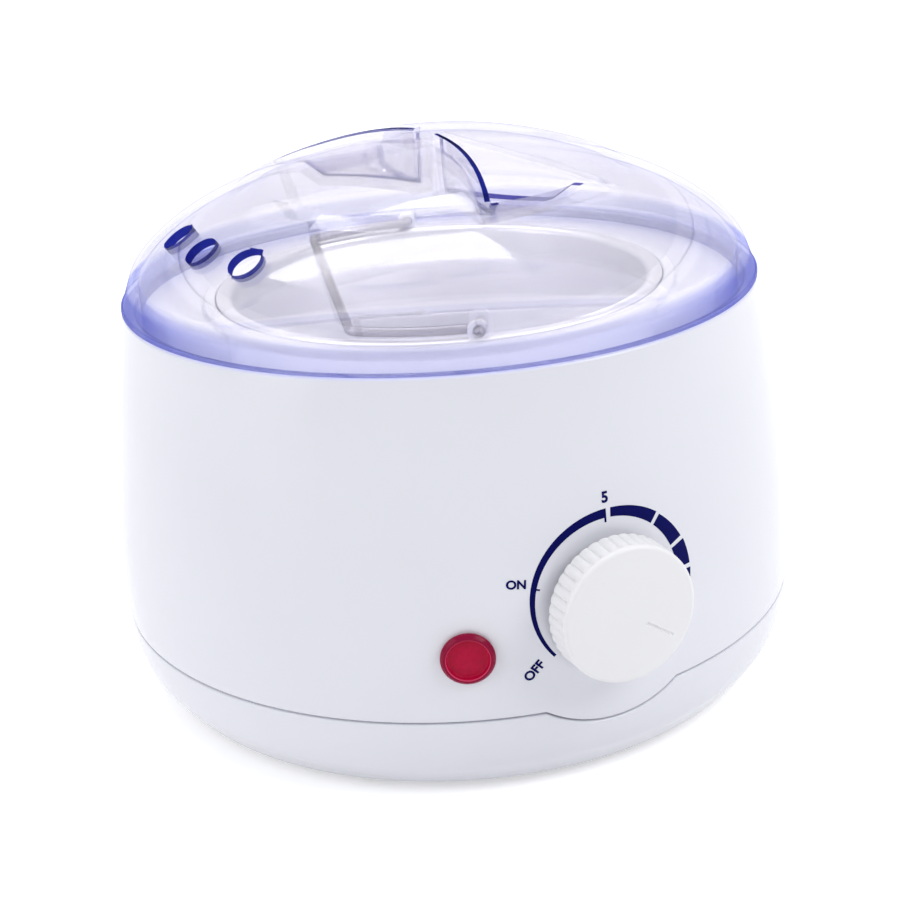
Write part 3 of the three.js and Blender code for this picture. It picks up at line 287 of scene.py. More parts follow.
def turned(outline: Array, columns: int = 96, closed: bool = False) -> Surface:
    """Turns an outline of (radius, height) about Z: x = r sin a, y = -r cos a, z = h.

    Args:
        outline: The outline, n by 2, from pole to pole or closed on itself.
        columns: The number of steps round the axis.
        closed: Whether the outline closes on itself.

    Returns:
        The turned surface.
    """
    return Surface(swept(outline[:, :1], angles(columns)[None, :], outline[:, 1:]), close_rows=closed)


def hoop(table: Sequence[Corner], columns: int, steps: int = 4) -> Surface:
    """Turns a closed profile, whose last corner is its first one again, into a ring."""
    return turned(profile(table, steps)[:-1], columns, closed=True)


def placed(surface: Surface, origin: Sequence[float], axis: Sequence[float]) -> Surface:
    """Moves a surface so that its own +Z points along an axis and its origin is at a place.

    Args:
        surface: The surface, made about +Z.
        origin: Where its origin goes.
        axis: Where its +Z points.

    Returns:
        The moved surface, without zones.
    """
    turn = Vector((0, 0, 1)).rotation_difference(Vector(axis)).to_matrix()
    points = surface.points @ np.array(turn).T + np.asarray(origin, float)
    return Surface(points, surface.close_rows, surface.close_columns, surface.capped)


def around(turn: float, radius: float, height: float) -> Triple:
    """Gives the point at a turn in degrees, a radius and a height."""
    angle = np.radians(turn)
    return (float(radius * np.sin(angle)), float(-radius * np.cos(angle)), height)


def stood(surface: Surface, turn: float, radius: float) -> Surface:
    """Stands a surface, made about +Z, at a turn in degrees and a radius."""
    return placed(surface, around(turn, radius, 0), (0, 0, 1))


def spun(surface: Surface, turn: float) -> Surface:
    """Turns a surface about Z by a turn in degrees.

    Args:
        surface: The surface.
        turn: The turn, towards +X from the front.

    Returns:
        The turned surface, without zones.
    """
    angle = np.radians(turn)
    spin = np.array([[np.cos(angle), -np.sin(angle), 0], [np.sin(angle), np.cos(angle), 0], [0, 0, 1]])
    points = surface.points @ spin.T
    return Surface(points, surface.close_rows, surface.close_columns, surface.capped)


def rod(
    start: Sequence[float], end: Sequence[float], radius: float, columns: int = 32, edge: float = 0.0
) -> Surface:
    """Makes a round bar between two points.

    Args:
        start: One end's middle.
        end: The other end's middle.
        radius: The bar's radius.
        columns: The number of steps round it.
        edge: The radius of its rounded rims.

    Returns:
        The bar's closed surface.
    """
    way = np.subtract(end, start)
    length = float(np.linalg.norm(way))
    outline = profile([(0, 0, 0), (radius, 0, edge), (radius, length, edge), (0, length, 0)], 4)
    return placed(turned(outline, columns), start, way)


def pillar(
    turn: float, circle: float, heights: Pair, radius: float, columns: int, edge: float = 0.0
) -> Surface:
    """Makes an upright round bar.

    Args:
        turn: Where it stands, in degrees.
        circle: How far from the axis it stands.
        heights: Its lower and upper end.
        radius: Its radius.
        columns: The number of steps round it.
        edge: The radius of its rounded rims.

    Returns:
        The bar's closed surface.
    """
    low, high = heights
    return rod(around(turn, circle, low), around(turn, circle, high), radius, columns, edge)


def tube(path: Array, radius: float, columns: int = 16) -> Surface:
    """Carries a circle along a flat path in the XY plane, with a half-ball on each end.

    A point lies at the path's point plus r (cos b times the side + sin b times Z).

    Args:
        path: The path's points, n by 2.
        radius: The wire's radius.
        columns: The number of steps round the wire.

    Returns:
        The wire's closed surface at height 0.
    """
    along = np.gradient(path, axis=0)
    along = along / np.linalg.norm(along, axis=1, keepdims=True)
    swell = np.linspace(0, np.pi / 2, 6)[:-1]
    first = path[0] - along[0] * radius * np.cos(swell)[:, None]
    last = path[-1] + along[-1] * radius * np.sin(np.pi / 2 - swell[::-1])[:, None]
    middles = np.vstack([first, path, last])
    ends = [np.repeat(way[None, :], len(swell), axis=0) for way in (along[0], along[-1])]
    ways = np.vstack([ends[0], along, ends[1]])
    sizes = np.concatenate([np.sin(swell), np.ones(len(path)), np.sin(swell)[::-1]]) * radius
    angle = angles(columns)[None, :, None]
    side = np.stack([-ways[:, 1], ways[:, 0]], axis=1)[:, None, :]
    flat = middles[:, None, :] + sizes[:, None, None] * np.cos(angle) * side
    high = sizes[:, None, None] * np.sin(angle)
    return Surface(np.concatenate([flat, high], axis=2))


def linked(name: str, data: bpy.types.ID) -> Piece:
    """Puts a mesh, a curve, a lamp or a camera into the scene as an object.

    Args:
        name: The object's name.
        data: What it shows.

    Returns:
        The new object.
    """
    thing = bpy.data.objects.new(name, data)
    bpy.context.scene.collection.objects.link(thing)
    return thing


def shaded(mesh: bpy.types.Mesh, sharp: float) -> bpy.types.Mesh:
    """Shades a mesh smooth, but for edges that turn by more degrees than given.

    Args:
        mesh: The mesh.
        sharp: The degrees from which an edge is sharp.

    Returns:
        The same mesh.
    """
    mesh.shade_smooth()
    mesh.set_sharp_from_angle(angle=float(np.radians(sharp)))
    return mesh


def make_piece(name: str, surfaces: Iterable[Surface], sharp: float = SHARP) -> Piece:
    """Puts closed surfaces into one mesh object, with doubles merged and faces turned outwards.

    Args:
        name: The piece's name.
        surfaces: Its surfaces, in millimetres.
        sharp: Edges that turn by more degrees than this stay sharp in the shading.

    Returns:
        The new object, linked into the scene.
    """
    whole = bmesh.new()
    for surface in surfaces:
        part = bpy.data.meshes.new(name)
        part.from_pydata(surface.points.reshape(-1, 3) * MM, [], surface.faces())
        if surface.zones is not None:
            values = part.attributes.new(ZONES, "FLOAT", "FACE")
            values.data.foreach_set("value", surface.zones.ravel().astype(np.float32))
        shell = bmesh.new()
        shell.from_mesh(part)
        bmesh.ops.remove_doubles(shell, verts=shell.verts, dist=1.5e-6)
        bmesh.ops.dissolve_degenerate(shell, edges=shell.edges, dist=1e-7)
        bmesh.ops.recalc_face_normals(shell, faces=shell.faces)
        shell.to_mesh(part)
        shell.free()
        whole.from_mesh(part)
        bpy.data.meshes.remove(part)
    mesh = bpy.data.meshes.new(name)
    whole.to_mesh(mesh)
    whole.free()
    return linked(name, shaded(mesh, sharp))


def carve(piece: Piece, cutters: Iterable[Surface], sharp: float = SHARP) -> Piece:
    """Takes closed surfaces out of a piece.

    Args:
        piece: The piece to cut.
        cutters: What is taken out, in millimetres.
        sharp: Edges that turn by more degrees than this stay sharp in the shading.

    Returns:
        The same piece with its new mesh.
    """
    tool = make_piece(piece.name + "_cutter", cutters)
    modifier = piece.modifiers.new("cut", "BOOLEAN")
    modifier.operation = "DIFFERENCE"
    modifier.solver = "EXACT"
    modifier.object = tool
    graph = bpy.context.evaluated_depsgraph_get()
    mesh = bpy.data.meshes.new_from_object(piece.evaluated_get(graph))
    piece.modifiers.clear()
    old, piece.data = piece.data, shaded(mesh, sharp)
    bpy.data.meshes.remove(old)
    bpy.data.objects.remove(tool)
    return piece


def joined(piece: Piece, surfaces: Iterable[Surface]) -> Piece:
    """Adds closed surfaces to a piece's mesh.

    Args:
        piece: The piece.
        surfaces: What is added, in millimetres.

    Returns:
        The same piece.
    """
    extra = make_piece(piece.name + "_extra", surfaces)
    both = bmesh.new()
    both.from_mesh(piece.data)
    both.from_mesh(extra.data)
    both.to_mesh(piece.data)
    both.free()
    bpy.data.objects.remove(extra)
    return piece


def fit(piece: Piece, body: Body, slot: Slot, material: Material, *nodes: str) -> None:
    """Dresses a piece, hides the CAD nodes that it replaces, and lets it ride on its body.

    Args:
        piece: The piece.
        body: The body that carries it.
        slot: The record's material slot; not used.
        material: Its finish.
        *nodes: The CAD nodes that it replaces.
    """
    piece.data.materials.clear()
    piece.data.materials.append(material)
    if nodes:
        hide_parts(*nodes)
    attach(piece, body.value)
    LOG.info("%s: %d faces on %s", piece.name, len(piece.data.polygons), body.value)


# Finishes


class Nodes:
    """A short way to lay out the nodes of a material or a world."""

    def __init__(self, name: str, world: bool = False) -> None:
        """Starts a material, or a world, with an empty tree."""
        self.owner = (bpy.data.worlds if world else bpy.data.materials).new(name)
        self.owner.use_nodes = True
        self.tree = self.owner.node_tree
        self.tree.nodes.clear()

    @cached_property
    def places(self) -> Socket:
        """The object coordinates, added when first asked for."""
        return self.add("ShaderNodeTexCoord").outputs["Object"]

    def add(self, kind: str, **settings: object) -> Node:
        """Adds a node and sets its properties or its input sockets by name.

        Args:
            kind: The node's type.
            **settings: Values or sockets to join, with a name's spaces written as underscores.

        Returns:
            The node.
        """
        node = self.tree.nodes.new(kind)
        for key, value in settings.items():
            socket = node.inputs.get(key.replace("_", " "))
            if socket is None:
                setattr(node, key, value)
            elif isinstance(value, Socket):
                self.link(value, socket)
            else:
                socket.default_value = value
        return node

    def link(self, start: Socket, end: Socket) -> None:
        """Joins an output to an input."""
        self.tree.links.new(start, end)

    def output(self, shader: Socket) -> Node:
        """Adds the output and joins a shader to it."""
        world = isinstance(self.owner, bpy.types.World)
        return self.add("ShaderNodeOutputWorld" if world else "ShaderNodeOutputMaterial", Surface=shader)

    def principled(self, **settings: object) -> Node:
        """Adds a Principled shader and joins it to the output."""
        shader = self.add("ShaderNodeBsdfPrincipled", **settings)
        self.output(shader.outputs["BSDF"])
        return shader

    def mix(self, share: Socket, first: Node, second: Node) -> Socket:
        """Mixes two shaders by a share, 0 for the first and 1 for the second.

        Args:
            share: The share.
            first: The first shader.
            second: The second shader.

        Returns:
            The mixed shader's socket.
        """
        node = self.add("ShaderNodeMixShader")
        for start, end in zip((share, first.outputs[0], second.outputs[0]), node.inputs):
            self.link(start, end)
        return node.outputs["Shader"]

    def split(self) -> bpy.types.NodeOutputs:
        """Gives the object coordinates' X, Y and Z."""
        return self.add("ShaderNodeSeparateXYZ", Vector=self.places).outputs

    def length(self, source: Socket) -> Socket:
        """Gives a vector's length."""
        return self.add("ShaderNodeVectorMath", operation="LENGTH", Vector=source).outputs["Value"]

    def zone(self) -> Socket:
        """Gives the number of a face's zone."""
        return self.add("ShaderNodeAttribute", attribute_name=ZONES).outputs["Fac"]

    def noise(self, scale: float, detail: float = 2.0, stretch: Colour = (1, 1, 1)) -> Socket:
        """Adds noise on object coordinates, finer along an axis where the stretch is larger."""
        spread = self.add("ShaderNodeMapping", Scale=stretch, Vector=self.places).outputs["Vector"]
        return self.add("ShaderNodeTexNoise", Scale=scale, Detail=detail, Vector=spread).outputs["Fac"]

    def between(
        self, source: Socket, low: float, high: float, start: float = 0.3, end: float = 0.7
    ) -> Socket:
        """Maps a value from one range to another, and holds it there.

        Args:
            source: The value's socket.
            low: The result at the range's start.
            high: The result at its end.
            start: The range's start.
            end: The range's end.

        Returns:
            The mapped value's socket.
        """
        limits = {"From_Min": start, "From_Max": end, "To_Min": low, "To_Max": high}
        return self.add("ShaderNodeMapRange", Value=source, **limits).outputs["Result"]

    def tint(self, source: Socket, low: Colour, high: Colour) -> Socket:
        """Mixes two colours over the middle part of a value's range.

        Args:
            source: The value.
            low: The colour of low values.
            high: The colour of high values.

        Returns:
            The colour's socket.
        """
        ramp = self.add("ShaderNodeValToRGB", Fac=source)
        for element, place, colour in zip(ramp.color_ramp.elements, (0.35, 0.65), (low, high)):
            element.position = place
            element.color = (*colour, 1)
        return ramp.outputs["Color"]

    def math(self, operation: str, first: Socket, second: Socket | float) -> Socket:
        """Works on two values.

        Args:
            operation: What is done.
            first: The first value.
            second: The second value, a plain one or a socket.

        Returns:
            The result's socket.
        """
        node = self.add("ShaderNodeMath", operation=operation)
        self.link(first, node.inputs[0])
        if isinstance(second, float):
            node.inputs[1].default_value = second
        else:
            self.link(second, node.inputs[1])
        return node.outputs["Value"]

    def blended(self, share: Socket, low: Colour | Socket, high: Colour | Socket) -> Socket:
        """Mixes two colours, each a plain one or a socket, by a share.

        Args:
            share: 0 for the first colour and 1 for the second.
            low: The first colour.
            high: The second colour.

        Returns:
            The mixed colour's socket.
        """
        node = self.add("ShaderNodeMix", data_type="RGBA")
        self.link(share, node.inputs[0])
        for end, colour in ((node.inputs[6], low), (node.inputs[7], high)):
            if isinstance(colour, tuple):
                end.default_value = (*colour, 1)
            else:
                self.link(colour, end)
        return node.outputs[2]

    def bump(self, source: Socket, strength: float, distance: float, above: Node) -> Node:
        """Raises the surface by a value.

        Args:
            source: The value.
            strength: How much of the bump is used.
            distance: Its height in metres.
            above: The shader, or the finer bump, that takes its normal.

        Returns:
            The bump's node.
        """
        node = self.add("ShaderNodeBump", Strength=strength, Distance=distance, Height=source)
        self.link(node.outputs["Normal"], above.inputs["Normal"])
        return node

    def seen(self) -> Socket:
        """Gives 1 for rays from the camera, a mirror or glass, and 0 for light on the object."""
        path = self.add("ShaderNodeLightPath")
        direct = self.math("MAXIMUM", path.outputs["Is Camera Ray"], path.outputs["Is Glossy Ray"])
        return self.math("MAXIMUM", direct, path.outputs["Is Transmission Ray"])


def scaled(colour: Colour, share: float) -> Colour:
    """Scales a colour, with each part held at 1."""
    return tuple(min(1.0, part * share) for part in colour)


class Finish(Protocol):
    """Anything that can make a material."""

    def material(self) -> Material:
        """Gives the material."""


@dataclass(frozen=True)
class Moulding:
    """Injection-moulded plastic with a faint flow waviness and a fine grain."""

    name: str
    colour: Colour
    rough: Pair = (0.14, 0.2)
    grain_scale: float = 900.0
    grain_depth: float = 0.000004
    wave_scale: float = 28.0
    wave_depth: float = 0.00003

    def material(self) -> Material:
        """Gives the material."""
        nodes = Nodes(self.name)
        wave = nodes.noise(self.wave_scale)
        base = nodes.tint(wave, scaled(self.colour, 0.985), self.colour)
        rough = nodes.between(nodes.noise(60, 3), *self.rough)
        shader = nodes.principled(IOR=1.5, Base_Color=base, Roughness=rough)
        grain = nodes.bump(nodes.noise(self.grain_scale, 3), 0.35, self.grain_depth, shader)
        nodes.bump(wave, 0.25, self.wave_depth, grain)
        return nodes.owner


@dataclass(frozen=True)
class TintedClear:
    """Clear moulded styrene with a dye that shows in thick places, and painted dark blue shade along edges.

    Part of the light goes straight on and part is bent, so that thin walls stay clear to look through.
    Lamps see only the straight part. The skirt is darker and bluer, most where it is seen aslant: partly
    from the dye's long path through its wall, and partly painted shade for the dark gap behind it and the
    light it bends.
    """

    name: str = "tinted_styrene"
    dye: Colour = (0.34, 0.38, 0.93)
    density: float = 3.5
    bend: float = 1.33
    face_on: Colour = (0.957, 0.949, 0.964)
    # The colour at grazing edges is painted dark navy shade. It stands in for the dark that the walls bend
    # and reflect, and partly for the dye's long path.
    painted_edge_shade: Colour = (0.09, 0.10, 0.42)
    edge_power: float = 26.0
    # The zones' colours paint dark blue lines of shade along walls, ramps, feet and hard edges. They stand
    # for light bent and reflected in the walls, partly for the dye's long path.
    zone_dye_and_shade: tuple[Colour, ...] = (
        (0.93, 0.93, 0.972),
        (0.66, 0.64, 0.80),
        (0.13, 0.12, 0.42),
        (0.012, 0.02, 0.27),
    )
    zones_straight: float = 0.93
    # The skirt's colours: partly the dye's long path, partly painted shade for the dark gap behind the
    # front skirt, and aslant a painted dark wedge for its bent light.
    skirt_dye_and_shade_on: Colour = (0.775, 0.778, 0.87)
    skirt_dye_and_shade_aslant: Colour = (0.05, 0.11, 0.70)
    foot_heights: Pair = (0.1051, 0.1065)
    foot_power: float = 2.0
    straight: float = 0.7

    def material(self) -> Material:
        """Gives the material."""
        nodes = Nodes(self.name)
        slant = nodes.add("ShaderNodeLayerWeight", Blend=0.5).outputs["Facing"]
        sharp = nodes.math("POWER", slant, self.edge_power)
        zone = nodes.zone()
        passed_and_shaded = self.passed_and_shaded(nodes, slant, sharp, zone)
        glass = nodes.add(
            "ShaderNodeBsdfPrincipled",
            Transmission_Weight=1.0,
            IOR=self.bend,
            Base_Color=passed_and_shaded,
            Roughness=nodes.between(nodes.noise(90, 3), 0.0, 0.03),
        )
        nodes.bump(nodes.noise(22, 1.5), 0.35, 0.00012, glass)
        pane = nodes.add("ShaderNodeBsdfTransparent", Color=passed_and_shaded)
        # Along edges and in the zones the straight part grows, so that the bent part does not thin the
        # painted dark shade.
        at_edges = nodes.between(sharp, self.straight, 1.0, 0.0, 1.0)
        in_zones = nodes.between(zone, self.straight, self.zones_straight, DyeAndEdgeShade.WALL, DyeAndEdgeShade.RAMP)
        painted_shade_share = nodes.math("MAXIMUM", at_edges, in_zones)
        lit = nodes.add("ShaderNodeLightPath").outputs["Is Shadow Ray"]
        output = nodes.output(nodes.mix(nodes.math("MAXIMUM", lit, painted_shade_share), glass, pane))
        volume = nodes.add("ShaderNodeVolumeAbsorption", Color=(*self.dye, 1), Density=self.density)
        nodes.link(volume.outputs["Volume"], output.inputs["Volume"])
        return nodes.owner

    def passed_and_shaded(self, nodes: Nodes, slant: Socket, sharp: Socket, zone: Socket) -> Socket:
        """Gives what one face lets through, with painted shade: darker where it is seen aslant, in the
        zones and in the skirt.

        Args:
            nodes: The material's nodes.
            slant: How far the face is turned from the ray.
            sharp: The same, raised so that only edges have it.
            zone: The face's zone, one of Dye.

        Returns:
            The colour's socket.
        """
        # The skirt's band: partly the dye's long path, partly painted shade for the dark gap behind it, and
        # a painted dark wedge where it is seen aslant.
        height = nodes.between(nodes.split()["Z"], 0.0, 1.0, *self.foot_heights)
        foot = nodes.blended(nodes.math("POWER", slant, self.foot_power), self.skirt_dye_and_shade_on, self.skirt_dye_and_shade_aslant)
        share = nodes.between(zone, 0.0, 1.0, DyeAndEdgeShade.PLAIN, DyeAndEdgeShade.EDGE)
        # Each zone's colour is painted shade, a dark blue line for light bent and reflected in the walls,
        # and partly the dye's long path.
        ramp = nodes.add("ShaderNodeValToRGB", Fac=share)
        ramp.color_ramp.interpolation = "CONSTANT"
        steps, count = ramp.color_ramp.elements, len(self.zone_dye_and_shade)
        steps[0].color = (*self.face_on, 1)
        steps[1].position = 1 - 0.5 / count
        steps[1].color = (*self.zone_dye_and_shade[-1], 1)
        for number, colour in enumerate(self.zone_dye_and_shade[:-1]):
            steps.new((number + 0.5) / count).color = (*colour, 1)
        body = nodes.blended(height, foot, ramp.outputs["Color"])
        # Faces seen edge-on get the painted dark navy edge shade.
        return nodes.blended(sharp, body, self.painted_edge_shade)


@dataclass(frozen=True)
class TurnedMetal:
    """Metal with fine rings about Z from its spinning or drawing, and a faint haze."""

    name: str
    colour: Colour
    rough: Pair = (0.28, 0.42)
    rings: float = 2400.0
    depth: float = 0.000006
    metallic: float = 1.0
    outside: Colour | None = None

    def material(self) -> Material:
        """Gives the material. The rings are noise on (distance from the axis, height).

        Faces in zone 1 are outside, and have the duller tone there if one is given.
        """
        nodes = Nodes(self.name)
        place = nodes.split()
        flat = nodes.add("ShaderNodeCombineXYZ", X=place["X"], Y=place["Y"]).outputs["Vector"]
        ring = nodes.add("ShaderNodeCombineXYZ", X=nodes.length(flat), Y=place["Z"]).outputs["Vector"]
        noise = nodes.add("ShaderNodeTexNoise", Scale=self.rings, Detail=2.0, Vector=ring)
        haze = nodes.noise(35, 3)
        colour = nodes.tint(haze, scaled(self.colour, 0.95), self.colour)
        if self.outside is not None:
            dull = nodes.tint(haze, scaled(self.outside, 0.93), self.outside)
            colour = nodes.blended(nodes.zone(), colour, dull)
        rough = nodes.between(haze, *self.rough)
        shader = nodes.principled(Metallic=self.metallic, Base_Color=colour, Roughness=rough)
        nodes.bump(noise.outputs["Fac"], 0.3, self.depth, shader)
        return nodes.owner


@dataclass(frozen=True)
class PlainMetal:
    """Drawn or pressed metal with fine scratches and an uneven polish."""

    name: str
    colour: Colour
    rough: Pair = (0.28, 0.38)

    def material(self) -> Material:
        """Gives the material."""
        nodes = Nodes(self.name)
        shader = nodes.principled(
            Metallic=1.0,
            Base_Color=nodes.tint(nodes.noise(160, 4), scaled(self.colour, 0.86), self.colour),
            Roughness=nodes.between(nodes.noise(500, 4), *self.rough),
        )
        nodes.bump(nodes.noise(2600, 2, (1, 0.15, 1)), 0.3, 0.00001, shader)
        return nodes.owner


@dataclass(frozen=True)
class Rubbery:
    """Rubber or silicone with a dusty, uneven bloom and a pitted skin."""

    name: str
    colour: Colour
    bloom: Colour
    rough: Pair = (0.6, 0.85)

    def material(self) -> Material:
        """Gives the material."""
        nodes = Nodes(self.name)
        dust = nodes.noise(140, 5)
        base, rough = nodes.tint(dust, self.colour, self.bloom), nodes.between(dust, *self.rough)
        shader = nodes.principled(Base_Color=base, Roughness=rough)
        nodes.bump(nodes.noise(1500, 2), 0.5, 0.00004, shader)
        return nodes.owner


@dataclass(frozen=True)
class Woven:
    """A braided or matted sleeve: crossed waves for a braid, or tangled noise for a mat."""

    name: str
    colour: Colour
    gap: Colour
    scale: float = 1100.0
    crossed: bool = True

    def material(self) -> Material:
        """Gives the material."""
        nodes = Nodes(self.name)
        source = self.braid(nodes) if self.crossed else nodes.noise(self.scale, 8, (1, 0.25, 1))
        base = nodes.tint(source, self.gap, self.colour)
        shader = nodes.principled(Roughness=0.8, Sheen_Weight=0.2, Base_Color=base)
        nodes.bump(source, 0.6, 0.0001, shader)
        return nodes.owner

    def braid(self, nodes: Nodes) -> Socket:
        """Gives a braid's height, the product of two waves that lean both ways."""
        waves = []
        for lean in (0.8, -0.8):
            turned_places = nodes.add("ShaderNodeMapping", Rotation=(lean, lean, lean), Vector=nodes.places)
            wave = nodes.add("ShaderNodeTexWave", Scale=self.scale / 3, Distortion=0.6)
            nodes.link(turned_places.outputs["Vector"], wave.inputs["Vector"])
            waves.append(wave.outputs["Fac"])
        return nodes.math("MULTIPLY", *waves)


@dataclass(frozen=True)
class Ink:
    """Pad-printed ink, with an edge-free satin film and pin-prick mottling."""

    name: str = "navy_ink"
    colour: Colour = (0.002, 0.003, 0.082)

    def material(self) -> Material:
        """Gives the material."""
        nodes = Nodes(self.name)
        mottle = nodes.noise(700, 3)
        shader = nodes.principled(
            Specular_IOR_Level=0.04,
            Base_Color=nodes.tint(mottle, self.colour, scaled(self.colour, 1.25)),
            Roughness=nodes.between(mottle, 0.3, 0.45),
        )
        nodes.bump(mottle, 0.2, 0.000004, shader)
        return nodes.owner


@dataclass(frozen=True)
class LampRed:
    """Deep red clear plastic over a small lamp, with a prism pattern moulded in its back."""

    name: str = "lamp_red"
    colour: Colour = (0.43, 0.002, 0.038)
    # rim is painted shade on the outer bevel, and edge is a painted highlight along the ring's inner edge.
    rim: Colour = (0.23, 0.001, 0.034)
    edge: Colour = (0.62, 0.06, 0.14)
    glow: Colour = (0.6, 0.01, 0.07)

    def material(self) -> Material:
        """Gives the material. The prisms are fine cells that bend the light and vary the red.

        The rim, in zone 1, is darker: painted shade for its outward bevel. Its inner edge, in zone 2, is
        lighter: a painted highlight.
        """
        nodes = Nodes(self.name)
        cells = nodes.add("ShaderNodeTexVoronoi", Scale=900.0, Vector=nodes.places).outputs["Distance"]
        zone = nodes.zone()
        red = nodes.tint(cells, scaled(self.colour, 1.04), scaled(self.colour, 0.93))
        # Painted shade on the rim, and a painted highlight on its inner edge.
        red = nodes.blended(nodes.between(zone, 0.0, 1.0, 0.0, 1.0), red, self.rim)
        red = nodes.blended(nodes.between(zone, 0.0, 1.0, 1.0, 2.0), red, self.edge)
        shader = nodes.principled(
            Transmission_Weight=0.08,
            IOR=1.49,
            Specular_IOR_Level=0.08,
            Emission_Strength=0.06,
            Emission_Color=(*self.glow, 1),
            Base_Color=red,
            Roughness=nodes.between(nodes.noise(300, 2), 0.16, 0.26),
        )
        nodes.bump(cells, 0.15, 0.00008, shader)
        return nodes.owner


def made(finish: Finish) -> Material:
    """Gives a field whose material is made together with the finishes."""
    return field(default_factory=finish.material)


@dataclass
class Finishes:
    """Every material of the object, made once."""

    shell: Material = made(Moulding("white_gloss", (0.80, 0.808, 0.866), (0.16, 0.22)))
    knob: Material = made(Moulding("white_satin", (0.875, 0.875, 0.888), (0.36, 0.46), 1400, 0.00001))
    lid: Material = made(TintedClear())
    pot: Material = made(
        TurnedMetal(
            "pot_aluminium", (0.92, 0.925, 0.965), (0.29, 0.35), metallic=0.75, outside=(0.60, 0.605, 0.63)
        )
    )
    well: Material = made(TurnedMetal("well_aluminium", (0.66, 0.665, 0.69), (0.35, 0.5)))
    steel: Material = made(PlainMetal("bright_steel", (0.6, 0.6, 0.62)))
    wire: Material = made(PlainMetal("bail_steel", (0.33, 0.32, 0.37), (0.28, 0.34)))
    zinc: Material = made(PlainMetal("zinc_plate", (0.52, 0.53, 0.56), (0.3, 0.45)))
    rubber: Material = made(Rubbery("grey_rubber", (0.03, 0.03, 0.034), (0.05, 0.05, 0.056)))
    silicone: Material = made(Rubbery("silicone", (0.55, 0.56, 0.59), (0.62, 0.62, 0.64), (0.45, 0.6)))
    sheath: Material = made(PlainMetal("heater_sheath", (0.33, 0.14, 0.07), (0.45, 0.65)))
    wool: Material = made(Woven("glass_wool", (0.74, 0.68, 0.52), (0.5, 0.45, 0.33), 380, False))
    ceramic: Material = made(Rubbery("ceramic", (0.74, 0.70, 0.61), (0.8, 0.77, 0.69), (0.3, 0.5)))
    nylon: Material = made(Moulding("nylon", (0.70, 0.70, 0.67), (0.4, 0.5)))
    lens: Material = made(LampRed())
    bulb: Material = made(Moulding("neon_glass", (0.9, 0.35, 0.15), (0.05, 0.1)))
    lead: Material = made(Woven("braided_sleeve", (0.6, 0.5, 0.3), (0.3, 0.24, 0.14)))
    ink: Material = made(Ink())


# Sub-assemblies


@dataclass
class BodyForm:
    """The outline that the base and the housing share, as radius against height."""

    radius: float = 88.95
    widest: float = 24.0
    lean_height: float = 56.0
    height: float = 100.1
    lean: float = 8.15
    flank_inset: float = 4.65
    flank_height: float = 10.0
    chamfer_height: float = 4.8
    chamfer_width: float = 3.8
    chamfer_soft: float = 5.0
    wall: float = 2.4
    knob_height: float = 46.5
    scallop: float = 31.0
    seam: float = 20.6
    gap: float = 0.5
    edge_steps: tuple[Pair, ...] = ((0.35, 0.0), (0.18, 0.05), (0.06, 0.2))
    outer_start: float = 0.45
    inner_start: float = 0.3
    front_columns: int = 49
    side_columns: int = 181

    def outline(self) -> Array:
        """Gives (radius, height) points from the underside to the rim: a chamfer and two pulled curves."""
        low = np.array([self.radius - self.flank_inset, self.chamfer_height])
        wide = np.array([self.radius, self.widest])
        flank = bent([low, [self.radius, self.flank_height], wide], 41)
        top = np.array([self.radius - self.lean, self.height])
        side = bent([wide, [self.radius, self.lean_height], top], 41)
        foot = np.array([[low[0] - self.chamfer_width, 0.0]])
        return np.vstack([foot, flank, side[1:]])

    def outer_at(self, height: Array | float) -> Array:
        """Gives the outer face's radius at a height, with the chamfer's corner rounded."""
        line = self.outline()
        corners = np.vstack([line[:2], line[6:]])
        soft = rounded(corners, [0, self.chamfer_soft, *[0] * (len(corners) - 2)], 8)
        return np.interp(height, soft[:, 1], soft[:, 0])

    def columns(self) -> Array:
        """Gives the turns of the grid's columns, in degrees, closer together under the dial."""
        corner = self.corner(0)
        front = np.linspace(-corner, corner, self.front_columns)
        side = np.linspace(corner, 360 - corner, self.side_columns)
        return np.concatenate([front, side[1:-1]])

    def corner(self, away: float) -> float:
        """Gives the turn where the scallop meets the level seam, away from the seam's middle."""
        reach = np.sqrt((self.scallop - away) ** 2 - (self.knob_height - self.seam - away) ** 2)
        return float(np.degrees(np.arcsin(reach / self.radius)))

    def edge(self, turns: Array, away: float) -> Array:
        """Gives the height of the seam's edge: level, and round the scallop's circle under the dial.

        Args:
            turns: The columns' turns in degrees.
            away: How far the edge lies above the seam's middle, or below it where negative.

        Returns:
            One height for each turn.
        """
        across = self.radius * np.sin(np.radians(turns))
        front = np.abs(np.mod(turns + 180, 360) - 180) < 90
        drop = np.sqrt(np.maximum((self.scallop - away) ** 2 - across**2, 0))
        low = np.where(front & (drop > 0), self.knob_height - drop, self.seam + away)
        return np.minimum(low, self.seam + away)

    def stack(self, radii: list[Array], heights: list[Array], turns: Array, closed: bool = True) -> Surface:
        """Makes a ring-shaped surface from rows of radii and heights.

        Args:
            radii: One row of radii after another, each a number or one value per column.
            heights: The heights that go with them.
            turns: The columns' turns in degrees.
            closed: Whether the last row joins the first one.

        Returns:
            The surface.
        """
        reach = np.vstack([np.broadcast_to(row, turns.shape) for row in radii])
        level = np.vstack([np.broadcast_to(row, turns.shape) for row in heights])
        return Surface(swept(reach, np.radians(turns), level), close_rows=closed)

    def wall_rows(self, low: Array, high: float, inner: bool, count: int = 36) -> tuple[Array, Array]:
        """Gives rows up a wall whose lower edge varies round the body.

        Args:
            low: The lower edge's height at each column.
            high: The upper edge's height.
            inner: Whether it is the inner face.
            count: The number of rows.

        Returns:
            The rows' radii and heights.
        """
        share = np.linspace(0, 1, count)[:, None]
        heights = low[None, :] + share * (high - low[None, :])
        return self.outer_at(heights) - (self.wall if inner else 0), heights


